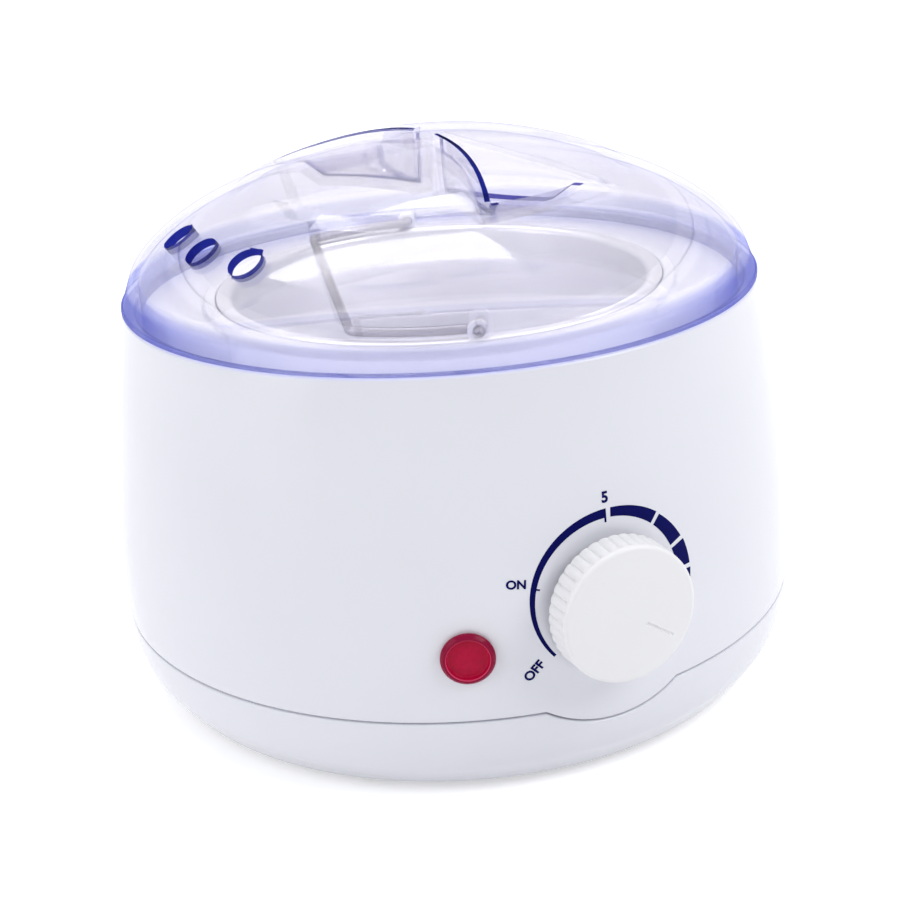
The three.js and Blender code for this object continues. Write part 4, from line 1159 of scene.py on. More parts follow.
@dataclass
class Housing:
    """The upper housing: side, rim seat, deck, collar, screw posts and well bosses."""

    form: BodyForm
    crest_drop: float = 2.2
    rim_inner: float = 77.9
    deck: float = 97.4
    collar_outer: float = 60.5
    collar_inner: float = 57.4
    collar_top: float = 100.0
    deck_under: float = 95.0
    screw_turns: tuple[float, ...] = (40.0, 140.0, 220.0, 320.0)
    screw_circle: float = 75.0
    post: Pair = (21.5, 52.0)
    post_radius: float = 4.0
    post_bore: float = 1.8
    well_turns: tuple[float, ...] = (80.0, 200.0, 300.0)
    well_circle: float = 66.3
    boss: Pair = (92.8, 96.0)
    boss_radius: float = 3.0
    boss_bore: float = 1.7
    shaft_hole: float = 4.2
    shaft_height: float = 45.1
    shaft_cut: Pair = (60.0, 95.0)
    lamp_turn: float = -22.1
    lamp_height: float = 37.0
    lamp_hole: float = 5.1
    lamp_cut: Pair = (75.0, 95.0)

    def crest(self) -> Array:
        """Gives the rounded outline over the rim, deck and collar, from the side to the inner wall."""
        form, top = self.form, self.form.height
        return profile(
            [
                (float(form.outer_at(top - self.crest_drop)), top - self.crest_drop, 0),
                (float(form.outer_at(top)), top, 0.7),
                (self.rim_inner, top, 0.5),
                (self.rim_inner, self.deck, 0.6),
                (self.collar_outer, self.deck, 0.8),
                (self.collar_outer, self.collar_top, 0.7),
                (self.collar_inner, self.collar_top, 0.6),
                (self.collar_inner, self.deck_under, 0.2),
                (float(form.outer_at(self.deck_under)) - form.wall, self.deck_under, 0),
            ]
        )

    def shell(self) -> Surface:
        """Makes the shell: up the side, over the crest and down the inner wall to the seam's edge."""
        form = self.form
        turns = form.columns()
        low = form.edge(turns, form.gap / 2)
        crest = self.crest()
        outer_r, outer_z = form.wall_rows(low + form.outer_start, crest[0, 1], False)
        inner_r, inner_z = form.wall_rows(low + form.inner_start, crest[-1, 1], True)
        edge_r = form.outer_at(low)
        radii = [
            *(edge_r - inset for inset, _ in form.edge_steps),
            *outer_r,
            *crest[1:, 0],
            *inner_r[::-1][1:],
            edge_r - form.wall + form.inner_start,
        ]
        steps = (low + rise for _, rise in form.edge_steps)
        heights = [*steps, *outer_z, *crest[1:, 1], *inner_z[::-1][1:], low]
        return form.stack(radii, heights, turns)

    def posts(self) -> list[Surface]:
        """Makes the screw posts below and the well's bosses, each a tube with rounded lips."""
        pieces = []
        for turns, circle, (low, high), outer, bore in (
            (self.screw_turns, self.screw_circle, self.post, self.post_radius, self.post_bore),
            (self.well_turns, self.well_circle, self.boss, self.boss_radius, self.boss_bore),
        ):
            table = [(bore, low, 0), (outer, low, 0.4), (outer, high, 0.2), (bore, high, 0), (bore, low, 0)]
            pieces += [stood(hoop(table, 32), turn, circle) for turn in turns]
        return pieces

    def build(self, looks: Finishes) -> None:
        """Makes and dresses the housing.

        Args:
            looks: The finishes.
        """
        piece = make_piece("housing_shell", [self.shell()])
        shaft = [(0, -reach, self.shaft_height) for reach in self.shaft_cut]
        lamp = [around(self.lamp_turn, reach, self.lamp_height) for reach in self.lamp_cut]
        carve(piece, [rod(*shaft, self.shaft_hole, 48), rod(*lamp, self.lamp_hole, 48)])
        joined(piece, self.posts())
        fit(piece, Body.HOUSING, Slot.SHELL, looks.shell, "upper_housing")


@dataclass
class Base:
    """The base cover with its lip, bosses, vents and recesses, and its feet and screws."""

    form: BodyForm
    floor: float = 3.0
    floor_bend: float = 2.0
    lip_outer: float = 85.7
    lip_wall: float = 1.5
    lip_low: float = 8.0
    lip_high: float = 23.5
    foot_turns: tuple[float, ...] = (45.0, 135.0, 225.0, 315.0)
    foot_circle: float = 64.0
    foot_radius: float = 6.5
    foot_drop: float = 2.0
    foot_top: float = 1.2
    foot_recess: Pair = (-2.0, 1.5)
    foot_gap: float = 0.3
    vents: int = 8
    vent_circle: float = 40.0
    vent_size: Pair = (3.0, 16.0)
    screw_turns: tuple[float, ...] = (40.0, 140.0, 220.0, 320.0)
    screw_circle: float = 75.0
    screw_tip: Pair = (33.4, 34.2)
    head_radius: float = 3.0
    cross: Pair = (0.32, 1.9)
    boss_radius: float = 4.5
    boss_bore: float = 1.8
    boss_mouth: float = 3.3
    boss_low: float = 1.5
    boss_shelf: float = 16.0
    boss_top: float = 21.2
    bore_cut: Pair = (-2.0, 5.0)
    gland_height: float = 13.0
    gland_hole: float = 4.6
    gland_cut: Pair = (80.0, 95.0)

    def shell(self) -> Surface:
        """Makes the cup: over the underside, up the flank to the seam's edge and down to the floor."""
        form = self.form
        turns = form.columns()
        high = form.edge(turns, -form.gap / 2)
        line = form.outline()
        corners = np.vstack([[[0.0, 0.0]], line[:2], line[6:12]])
        foot = rounded(corners, [0, 1.6, 6.0, *[0] * (len(corners) - 3)], 8)
        share = np.linspace(0, 1, 26)[1:, None]
        outer_z = foot[-1, 1] + share * (high[None, :] - form.outer_start - foot[-1, 1])
        bend_z = self.floor + self.floor_bend
        start = high[None, :] - form.inner_start
        inner_z = start + share * (bend_z - start)
        edge_r = form.outer_at(high)
        inner_low = float(form.outer_at(bend_z)) - form.wall
        bend = profile([(inner_low, bend_z, 0), (inner_low - 1.2, self.floor, 1.5), (0, self.floor, 0)], 5)
        steps = form.edge_steps[::-1]
        radii = [
            *foot[:, 0],
            *form.outer_at(outer_z),
            *(edge_r - inset for inset, _ in steps),
            edge_r - form.wall + form.inner_start,
            *(form.outer_at(inner_z) - form.wall),
            *bend[1:, 0],
        ]
        heights = [*foot[:, 1], *outer_z, *(high - drop for _, drop in steps), high, *inner_z, *bend[1:, 1]]
        return form.stack(radii, heights, turns, closed=False)

    def lip(self) -> Surface:
        """Makes the ring behind the seam."""
        inner, outer = self.lip_outer - self.lip_wall, self.lip_outer
        low, high = self.lip_low, self.lip_high
        start = (inner, low, 0)
        return hoop([start, (outer, low, 0.2), (outer, high, 0.3), (inner, high, 0.3), start], 180)

    def bosses(self) -> list[Surface]:
        """Makes the hollow bosses that the long screws pass."""
        pipe = hoop(
            [
                (self.boss_bore, self.boss_shelf, 0),
                (self.boss_mouth, self.boss_shelf, 0.1),
                (self.boss_mouth, self.boss_low, 0),
                (self.boss_radius, self.boss_low, 0),
                (self.boss_radius, self.boss_top, 0.3),
                (self.boss_bore, self.boss_top, 0.2),
                (self.boss_bore, self.boss_shelf, 0),
            ],
            32,
        )
        return [stood(pipe, turn, self.screw_circle) for turn in self.screw_turns]

    def slot(self, turn: float) -> Surface:
        """Makes one vent slot's cutter, a bar with round ends."""
        width, length = self.vent_size
        middle = np.array([0, -self.vent_circle])
        ring = oblong(width / 2, length / 2 - width / 2, 32) + middle
        size = np.array([0, 1, 1, 0])[:, None, None]
        ends = (-self.floor, self.floor * 2)
        level = np.repeat(ends, 2)[:, None, None]
        flat = middle + size * (ring - middle)[None]
        points = np.concatenate([flat, level + 0 * flat[..., :1]], axis=2)
        return spun(Surface(points), turn)

    def build(self, looks: Finishes) -> None:
        """Makes and dresses the base, feet and screws.

        Args:
            looks: The finishes.
        """
        piece = make_piece("base_cup", [self.shell()])
        recess, circle = self.foot_radius + self.foot_gap, self.screw_circle
        gland = [(0, reach, self.gland_height) for reach in self.gland_cut]
        cutters = [self.slot((number + 0.5) * 360 / self.vents) for number in range(self.vents)]
        cutters += [pillar(t, self.foot_circle, self.foot_recess, recess, 48) for t in self.foot_turns]
        cutters += [pillar(t, circle, self.bore_cut, self.boss_mouth, 40) for t in self.screw_turns]
        carve(piece, [*cutters, rod(*gland, self.gland_hole, 48)])
        joined(piece, [self.lip(), *self.bosses()])
        fit(piece, Body.HOUSING, Slot.SHELL, looks.shell, "base_cover")
        self.build_feet(looks)
        self.build_screws(looks)

    def build_feet(self, looks: Finishes) -> None:
        """Makes four round feet with a dished sole.

        Args:
            looks: The finishes.
        """
        sole, top, radius = -self.foot_drop, self.foot_top, self.foot_radius
        dish = [(0, sole + 0.3, 0), (2.6, sole + 0.3, 0.3), (3.2, sole, 0.3)]
        outline = profile([*dish, (radius, sole, 0.9), (radius, top, 0.3), (0, top, 0)], 5)
        for number, turn in enumerate(self.foot_turns, 1):
            pad = make_piece(f"foot_pad_{number}", [stood(turned(outline, 48), turn, self.foot_circle)])
            fit(pad, Body.HOUSING, Slot.RUBBER, looks.rubber, f"foot_{number}")

    def build_screws(self, looks: Finishes) -> None:
        """Makes the long screws, with pan heads and a cross recess, up their bosses.

        Args:
            looks: The finishes.
        """
        low = self.boss_shelf - 2.5
        shank, (tip_low, tip) = self.head_radius / 2, self.screw_tip
        outline = profile(
            [
                (0, low, 0),
                (1.9, low, 1.0),
                (self.head_radius, low + 1.1, 0.8),
                (self.head_radius, low + 2.2, 0.15),
                (shank, low + 2.2, 0.2),
                (shank, tip_low, 0.3),
                (0, tip, 0),
            ],
            5,
        )
        blade = np.array([[0, -1], [0.9, -1], [0.7, 0.7], [0.25, 1.4], [0, 1.4]]) + [0, low]
        circle = self.screw_circle
        for number, turn in enumerate(self.screw_turns, 1):
            screw = make_piece(f"long_screw_{number}", [stood(turned(outline, 40), turn, circle)])
            for stretch in (self.cross, self.cross[::-1]):
                points = turned(blade, 4).points * np.array([*stretch, 1.0])
                carve(screw, [stood(Surface(points), turn, circle)])
            fit(screw, Body.HOUSING, Slot.STEEL, looks.zinc, f"base_screw_{number}")


@dataclass
class Well:
    """The heating well that the pot hangs in, with its flange and two studs."""

    floor: float = 39.4
    radius: float = 55.2
    wall: float = 1.4
    rim: float = 98.9
    flange_top: float = 92.5
    flange: float = 70.0
    flange_wall: float = 1.5
    hole_turns: tuple[float, ...] = (80.0, 200.0, 300.0)
    hole_circle: float = 66.3
    hole: float = 1.7
    hole_cut: Pair = (88.0, 95.0)
    stud_turns: tuple[float, ...] = (0.0, 120.0)
    stud_circle: float = 44.0
    stud: float = 1.8
    stud_length: float = 7.0

    def build(self, looks: Finishes) -> None:
        """Makes and dresses the well.

        Args:
            looks: The finishes.
        """
        outer, under = self.radius + self.wall, self.floor - self.wall
        flange_low = self.flange_top - self.flange_wall
        outline = profile(
            [
                (0, self.floor, 0),
                (self.radius, self.floor, 4.6),
                (self.radius, self.rim, 0.5),
                (outer, self.rim, 0.5),
                (outer, self.flange_top, 0.6),
                (self.flange, self.flange_top, 0.5),
                (self.flange, flange_low, 0.5),
                (outer, flange_low, 0.8),
                (outer, under, 5.6),
                (0, under, 0),
            ],
            7,
        )
        piece = make_piece("well_shell", [turned(outline, 144)])
        carve(piece, [pillar(t, self.hole_circle, self.hole_cut, self.hole, 24) for t in self.hole_turns])
        ends = (under - self.stud_length, under + 0.5)
        joined(piece, [pillar(t, self.stud_circle, ends, self.stud, 24, 0.3) for t in self.stud_turns])
        fit(piece, Body.HOUSING, Slot.WELL, looks.well, "heating_well")


@dataclass
class Pot:
    """The lift-out pot with its two ears and the wire bail."""

    rim: float = 100.4
    rim_radius: float = 57.2
    mouth: float = 53.3
    bottom: float = 49.6
    floor: float = 41.4
    wall: float = 1.2
    columns: int = 160
    ear_turn: float = -14.4
    ear_inner: float = 55.5
    ear_wall: float = 1.4
    ear_width: float = 5.0
    ear_height: float = 4.2
    ear_round: float = 2.55
    ear_gap: float = 0.3
    ear_hole: tuple[Pair, ...] = ((0.12, 0.0), (0.0, 0.12), (0.0, 0.88), (0.12, 1.0))
    ear_edge: tuple[Pair, ...] = (
        (-0.15, 1.0),
        (-0.04, 0.96),
        (0.0, 0.86),
        (0.0, 0.14),
        (-0.04, 0.04),
        (-0.15, 0.0),
    )
    pin_height: float = 102.2
    wire: float = 1.15
    chord: float = 28.1
    leg_inset: float = 0.6
    pin_inset: float = 0.05
    bends: Pair = (1.3, 3.0)

    def pan(self) -> Surface:
        """Makes the pan: floor, corner, leaning side, rim and the outer face back to the axis.

        The faces under the rim and outside have zone 1.
        """
        under, lip = self.floor - self.wall, self.rim - self.wall
        outline = profile(
            [
                (0, self.floor, 0),
                (self.bottom, self.floor, 6),
                (self.mouth, self.rim, 1.6),
                (self.rim_radius, self.rim, 0.58),
                (self.rim_radius, lip, 0.58),
                (self.mouth + self.wall, lip, 0.6),
                (self.bottom + self.wall, under, 7.2),
                (0, under, 0),
            ],
            10,
        )
        surface = turned(outline, self.columns)
        outside = np.arange(len(outline) - 1) > np.argmin(np.hypot(*(outline - [self.rim_radius, lip]).T))
        surface.zones = outside[:, None] + np.zeros((1, self.columns))
        return surface

    def ear(self) -> Surface:
        """Makes one ear: a tab with a round top, bored for the pin, as rings from its bore outwards.

        A ring is the bore's circle or the tab's outline, moved out by its first value, at its second
        value's share of the tab's thickness.
        """
        angle = angles(48)
        hole = self.wire + self.ear_gap
        low = self.rim + 0.02 - self.pin_height
        high = self.rim + self.ear_gap + self.ear_height - self.pin_height
        way = np.stack([np.sin(angle), np.cos(angle)], axis=1)
        reach = np.minimum(
            self.ear_width / 2 / np.maximum(np.abs(way[:, 0]), 1e-6),
            np.where(way[:, 1] > 0, high, -low) / np.maximum(np.abs(way[:, 1]), 1e-6),
        )
        reach = np.where(way[:, 1] > 0, np.minimum(reach, self.ear_round + 0.1 * way[:, 1]), reach)
        round_hole = [np.full(len(angle), hole + out) for out, _ in self.ear_hole]
        radii = np.array([*round_hole, *(reach + out for out, _ in self.ear_edge)])
        share = np.array([depth for _, depth in (*self.ear_hole, *self.ear_edge)])[:, None]
        depth = share * self.ear_wall + self.ear_inner
        across, up = radii * way[:, 0], self.pin_height + radii * way[:, 1]
        return Surface(np.stack([across, -(depth + 0 * radii), up], axis=-1), close_rows=True)

    def wire_path(self) -> Array:
        """Gives the bail's path: a pin, a leg along the rim's circle, the chord and the same mirrored."""
        leg = self.ear_inner - self.wire - self.leg_inset
        turn = np.arcsin(self.chord / leg)
        arc = -turn * np.linspace(0, 1, 15)[1:]
        start = np.array([[0, -(self.ear_inner + self.ear_wall - self.pin_inset)], [0, -leg]])
        side = np.stack([leg * np.sin(arc), -leg * np.cos(arc)], axis=1)
        half = np.vstack([start, side])
        corners = np.vstack([half, half[::-1] * [1, -1]])
        radii = np.zeros(len(corners))
        radii[[1, -2]], radii[[len(half) - 1, len(half)]] = self.bends
        path = rounded(corners, radii, 8, 0.3)
        step = np.linalg.norm(np.diff(path, axis=0), axis=1)
        return path[np.concatenate([[True], step > 0.05])]

    def build(self, looks: Finishes) -> None:
        """Makes and dresses the pan, ears and bail.

        Args:
            looks: The finishes.
        """
        fit(make_piece("pot_pan", [self.pan()]), Body.POT, Slot.ALUMINIUM, looks.pot, "wax_pot")
        for name, turn in (("near", self.ear_turn), ("far", self.ear_turn + 180)):
            ear = make_piece(f"ear_{name}", [spun(self.ear(), turn)])
            fit(ear, Body.POT, Slot.ALUMINIUM, looks.pot, f"pot_ear_{name}")
        wire = spun(tube(self.wire_path(), self.wire), self.ear_turn)
        wire.points[..., 2] += self.pin_height
        fit(make_piece("bail_wire", [wire]), Body.BAIL, Slot.STEEL, looks.wire, "pot_bail")


@dataclass
class Lid:
    """The tinted lid: a domed crown with two finger bays, a shoulder, a skirt and an inner rib."""

    foot: float = 100.4
    lip_height: float = 1.0
    lip_radius: float = 80.9
    skirt_radius: float = 80.5
    break_radius: float = 77.8
    break_height: float = 108.7
    crown_radius: float = 46.5
    crown_height: float = 129.0
    top: float = 138.2
    band_width: float = 4.0
    band_drop: float = 2.5
    edge_rounds: Triple = (0.9, 1.2, 1.6)
    inner_round: float = 0.6
    wall: float = 2.2
    high_shares: Pair = (0.46, 0.2)
    low_shares: Pair = (0.88, 0.66)
    bay_floor: float = 123.7
    ramp_foot: float = 36.5
    ramp_top: Pair = (41.5, 127.6)
    ramp_inset: float = 0.6
    tip: float = 6.0
    near_turns: Pair = (1.5, -8.2)
    near_bow: float = 2.9
    far_turns: Pair = (13.5, 38.5)
    far_bow: float = -5.4
    soft: float = 0.42
    soft_share: float = 0.27
    # The edge, back and foot lines are strips of columns that carry painted dark blue shade.
    edge_line: float = 1.6
    back_line: float = 2.4
    foot_line: float = 2.1
    foot_share: float = 0.46
    foot_reach: float = 1.5
    wall_columns: int = 9
    bay_columns: int = 12
    ridge_columns: int = 60
    even_from: float = 53.0
    even_over: float = 20.0
    rib_outer: float = 77.6
    rib_wall: float = 1.7
    rib_low: float = 98.0
    rib_high: float = 106.0
    vent_turns: tuple[float, ...] = (-64.6, -80.2, -95.4)
    vent_circle: float = 65.5
    vent_radius: float = 4.25
    vent_tilt: float = 35.0
    vent_cut: Pair = (6.0, 4.0)
    sharp: float = 50.0

    def shoulder_top(self) -> Array:
        """Gives the outline's point where the band below the crown ends and the shoulder starts."""
        return np.array([self.crown_radius + self.band_width, self.crown_height - self.band_drop])

    def corners(self) -> tuple[Array, Array]:
        """Gives the outer outline's corners from the axis to the skirt's foot, and their radii.

        The crown is part of a ball, with rows close together at the bays' tips and at the ramp's bends.
        The shoulder is a curve between two points that is pulled by two more.
        """
        drop = self.top - self.crown_height
        ball = (self.crown_radius**2 + drop**2) / (2 * drop)
        spread = eased(self.wall_columns) * self.soft * 1.6
        tips = [centre + spread for centre in (self.tip - self.wall, self.tip)]
        bends = [centre + np.linspace(-0.9, 0.9, 5) for centre in (self.ramp_foot, self.ramp_top[0])]
        plain = [[0, 1.2, 2.4, 4.9], np.linspace(8, 34, 14), [38.2, 39.8], [43.5, 45]]
        reach = np.unique(np.concatenate([*plain, *tips, *bends]))
        crown = np.stack([reach, self.top - ball + np.sqrt(ball**2 - reach**2)], axis=1)
        start, end = self.shoulder_top(), np.array([self.break_radius, self.break_height])
        first = start + np.array(self.high_shares) * (end - start)
        second = start + np.array(self.low_shares) * (end - start)
        shoulder = bent([start, first, second, end], 27)
        edge = np.array([[self.crown_radius, self.crown_height]])
        skirt = np.array([[self.skirt_radius, self.foot + self.lip_height]])
        points = np.vstack([crown, edge, shoulder, skirt])
        radii = np.zeros(len(points))
        radii[[len(crown), len(crown) + 1, -2]] = self.edge_rounds
        return points, radii

    def inner_corners(self) -> Array:
        """Moves the outline's corners in by the wall, each along the bisector of its two sides."""
        points, _ = self.corners()
        step = np.diff(points, axis=0)
        normal = np.stack([step[:, 1], -step[:, 0]], axis=1) / np.linalg.norm(step, axis=1, keepdims=True)
        first, last = np.vstack([normal[:1], normal]), np.vstack([normal, normal[-1:]])
        middle = first + last
        middle = middle / np.sum(middle * first, axis=1, keepdims=True)
        moved = points + middle * self.wall
        moved[0, 0] = 0
        return moved

    def floor_at(self, radius: Array) -> Array:
        """Gives the bays' floor height at a radius: level, up a ramp, then a gentle fall outwards.

        Args:
            radius: The radii.

        Returns:
            The heights.
        """
        foot, top = (self.ramp_foot, self.bay_floor, 1.6), (*self.ramp_top, 1.2)
        line = profile([(0, self.bay_floor, 0), foot, top, (*self.shoulder_top(), 0)], 8)
        return np.interp(radius, line[:, 0], line[:, 1])

    def bay_wall(self, radius: Array, turns: Pair, bow: float) -> tuple[Array, Array]:
        """Gives a bay wall's turn at a radius, and how much longer a step across it is round the circle.

        In plan the wall is a curve from the bay's tip to past the crown's foot, pulled by a middle point.

        Args:
            radius: The radii.
            turns: The wall's turns at its tip and end.
            bow: How far it bows from its chord.

        Returns:
            The turns in degrees, and the ratio.
        """
        tip, end = np.radians(turns)
        reach = self.crown_radius + self.band_width + 2
        start = self.tip * np.array([np.sin(tip), -np.cos(tip)])
        stop = reach * np.array([np.sin(end), -np.cos(end)])
        along = (stop - start) / np.linalg.norm(stop - start)
        middle = (start + stop) / 2 + 2 * bow * np.array([-along[1], along[0]])
        curve = bent([start, middle, stop], 120)
        away, angle = np.hypot(*curve.T), np.arctan2(curve[:, 0], -curve[:, 1])
        slant = np.hypot(1, away * np.gradient(angle, away))
        held = np.maximum(radius, self.tip)
        return np.interp(held, away, np.degrees(angle)), np.interp(held, away, slant)

    def face(self, outline: Array, grow: float) -> Array:
        """Makes one face of the lid as a grid whose columns follow the bays' walls.

        The height is the dome's height less the bay's depth times a share. The share rises from 0 to 1
        over a narrow width across each wall, by 3t^2 - 2t^3, and so it does past the tip. Each half turn
        has the columns of an edge line, the near wall, its foot, the bay, the far wall's foot, the far
        wall, its back line and the ridge. Further out the columns turn into even ones.

        Args:
            outline: The dome's (radius, height) points from the axis outwards.
            grow: How far the bays are grown and lowered, 0 for the outer face.

        Returns:
            The points, rows by columns by 3.
        """
        radius, dome = outline[:, :1], outline[:, 1:]
        tip = self.tip - grow
        scale = 180 / np.pi / np.maximum(radius, tip)
        near, near_slant = self.bay_wall(radius, self.near_turns, self.near_bow)
        far, far_slant = self.bay_wall(radius, self.far_turns, self.far_bow)
        near_step, far_step = scale * near_slant, scale * far_slant
        near, far = near - grow * near_step, far + grow * far_step
        soft = np.minimum(self.soft, self.soft_share * (far - near) / scale)
        steps = eased(self.wall_columns)[None, :] * soft
        floor = np.minimum(self.foot_line * soft / self.soft, self.foot_share * (far - near) / scale)
        banded = np.concatenate([-self.edge_line * soft / self.soft, steps, floor], axis=1)
        spread = np.concatenate([-floor, steps, self.back_line * soft / self.soft], axis=1)
        bay, ridge = (np.linspace(0, 1, n + 2)[None, 1:-1] for n in (self.bay_columns, self.ridge_columns))
        half = []
        for turn in (0, 180):
            first, last = near + banded * near_step + turn, far + spread * far_step + turn
            following = first + 180
            half += [
                first,
                first[:, -1:] + bay * (last[:, :1] - first[:, -1:]),
                last,
                last[:, -1:] + ridge * (following[:, :1] - last[:, -1:]),
            ]
        turns = np.concatenate(half, axis=1)
        even = self.near_turns[1] + np.linspace(0, 360, turns.shape[1], endpoint=False)[None, :]
        level = smooth((radius - self.even_from) / self.even_over)
        local = np.mod(turns - near + 60, 180) - 60
        share = smooth((local / near_step / soft + 1) / 2)
        share = share * smooth(((far - near - local) / far_step / soft + 1) / 2)
        share = share * smooth(((radius - tip) / self.soft + 1) / 2)
        depth = np.maximum(dome - (self.floor_at(radius) - grow), 0) * (radius < self.shoulder_top()[0] + 1)
        return swept(radius, np.radians(turns * (1 - level) + even * level), dome - depth * share)

    def zones(self, outline: Array, grow: float) -> Array:
        """Gives each face of a face grid its zone of dye and painted dark blue shade.

        The near walls and the ring at the crown's foot are walls, the bays' slopes ramps, and the walls'
        lowest faces feet. The first bay's near wall and the other bay's far wall have hard edges on top.
        These zones are painted as darker blue lines, which stand in for light that the walls bend and
        reflect.
        The columns count as in face: the near wall's foot ends at near, the far wall's starts at far,
        and back is the last face of the far wall.

        Args:
            outline: The dome's (radius, height) points.
            grow: How far the bays are grown, 0 for the outer face.

        Returns:
            The zones, a row fewer than the points by as many columns.
        """
        near = self.wall_columns
        far = near + self.bay_columns + 2
        back = far + self.wall_columns
        column = np.arange(back + self.ridge_columns + 2)
        half = np.where((column > 0) & (column < near - 2), DyeAndEdgeShade.WALL, DyeAndEdgeShade.PLAIN)
        middle = (outline[:-1, :1] + outline[1:, :1]) / 2
        inside = (middle > self.tip - grow - 0.3) & (middle < self.crown_radius)
        if grow > 0:
            return np.tile(half, 2)[None, :] * inside
        half[[near - 2, near - 1, near, far, far + 1, far + 2]] = DyeAndEdgeShade.FOOT
        other = half.copy()
        half[:3] = DyeAndEdgeShade.EDGE
        half[back - 1] = DyeAndEdgeShade.RAMP
        other[back - 2 : back + 1] = DyeAndEdgeShade.EDGE
        zones = np.concatenate([half, other])[None, :] * inside
        past_foot = middle > self.ramp_top[0] + self.foot_reach
        zones = np.where((zones == DyeAndEdgeShade.FOOT) & past_foot, DyeAndEdgeShade.WALL, zones)
        ramp = (middle > self.ramp_foot + self.ramp_inset) & (middle < self.ramp_top[0] - self.ramp_inset)
        bays = np.tile((column > near) & (column < far), 2)[None, :]
        zones = np.where(ramp & bays, DyeAndEdgeShade.RAMP, zones)
        return np.where(np.abs(middle - self.crown_radius) < 0.3, DyeAndEdgeShade.WALL, zones)

    def rim_points(self) -> Array:
        """Gives the outline round the lip's foot and the rib, from the skirt's foot to the inner face."""
        low = self.foot + self.lip_height
        inner = self.rib_outer - self.rib_wall
        return profile(
            [
                (self.skirt_radius, low, 0),
                (self.lip_radius, low - 0.02, 0.15),
                (self.lip_radius, self.foot, 0.35),
                (self.rib_outer, self.foot, 0.3),
                (self.rib_outer, self.rib_low, 0.5),
                (inner, self.rib_low, 0.5),
                (inner, self.rib_high - 0.4, 0),
            ],
            5,
        )

    def vents(self, height: float) -> list[tuple[Array, Array]]:
        """Gives each vent's direction and the middle of its mouth, for the shoulder's height there."""
        lean = np.radians(self.vent_tilt)
        way, mouth = (float(np.sin(lean)), float(np.cos(lean))), (self.vent_circle, height)
        return [(np.array(around(turn, *way)), np.array(around(turn, *mouth))) for turn in self.vent_turns]

    def build(self, looks: Finishes) -> None:
        """Makes, bores and dresses the lid.

        Args:
            looks: The finishes.
        """
        corners, radii = self.corners()
        outer = rounded(corners, radii)
        inner = rounded(self.inner_corners(), radii * self.inner_round)
        inner = inner[inner[:, 1] > self.rib_high + 0.6]
        top, under = self.face(outer, 0.0), self.face(inner, self.wall)
        ring = self.rim_points()[1:]
        rim = swept(ring[:, :1], np.radians(self.columns_at(outer)), ring[:, 1:])
        points = np.concatenate([top, rim, under[::-1]], axis=0)
        zones = np.zeros((points.shape[0] - 1, points.shape[1]))
        zones[: len(top) - 1] = self.zones(outer, 0.0)
        zones[-(len(under) - 1) :] = self.zones(inner, self.wall)[::-1]
        piece = make_piece("lid_dome", [Surface(points, zones=zones)], self.sharp)
        vents = self.vents(float(np.interp(self.vent_circle, outer[:, 0], outer[:, 1])))
        down, up = self.vent_cut
        bores = [rod(mouth - way * down, mouth + way * up, self.vent_radius, 64) for way, mouth in vents]
        carve(piece, bores, self.sharp)
        self.mark_bores(piece, vents)
        fit(piece, Body.LID, Slot.LID, looks.lid, "lid")

    def mark_bores(self, piece: Piece, vents: list[tuple[Array, Array]]) -> None:
        """Gives the faces on a vent's bore, which lie at its radius from its axis, the zone of hard edges:
        painted dark navy shade.

        Args:
            piece: The bored lid.
            vents: The vents' directions and mouths.
        """
        mesh = piece.data
        centres = np.empty(len(mesh.polygons) * 3, dtype=np.float32)
        mesh.polygons.foreach_get("center", centres)
        centres = centres.reshape(-1, 3) / MM
        values = mesh.attributes[ZONES]
        zones = np.empty(len(mesh.polygons), dtype=np.float32)
        values.data.foreach_get("value", zones)
        for way, mouth in vents:
            away = centres - mouth
            along = away @ way
            off = np.linalg.norm(away - along[:, None] * way, axis=1)
            # The bores are painted dark navy shade.
            zones[(np.abs(off - self.vent_radius) < 0.06) & (np.abs(along) < 5)] = DyeAndEdgeShade.EDGE
        values.data.foreach_set("value", zones)

    def columns_at(self, outline: Array) -> Array:
        """Gives the turns of the columns at the skirt's foot, in degrees."""
        points = self.face(outline[-1:], 0.0)[0]
        return np.degrees(np.unwrap(np.arctan2(points[:, 0], -points[:, 1])))[None, :]


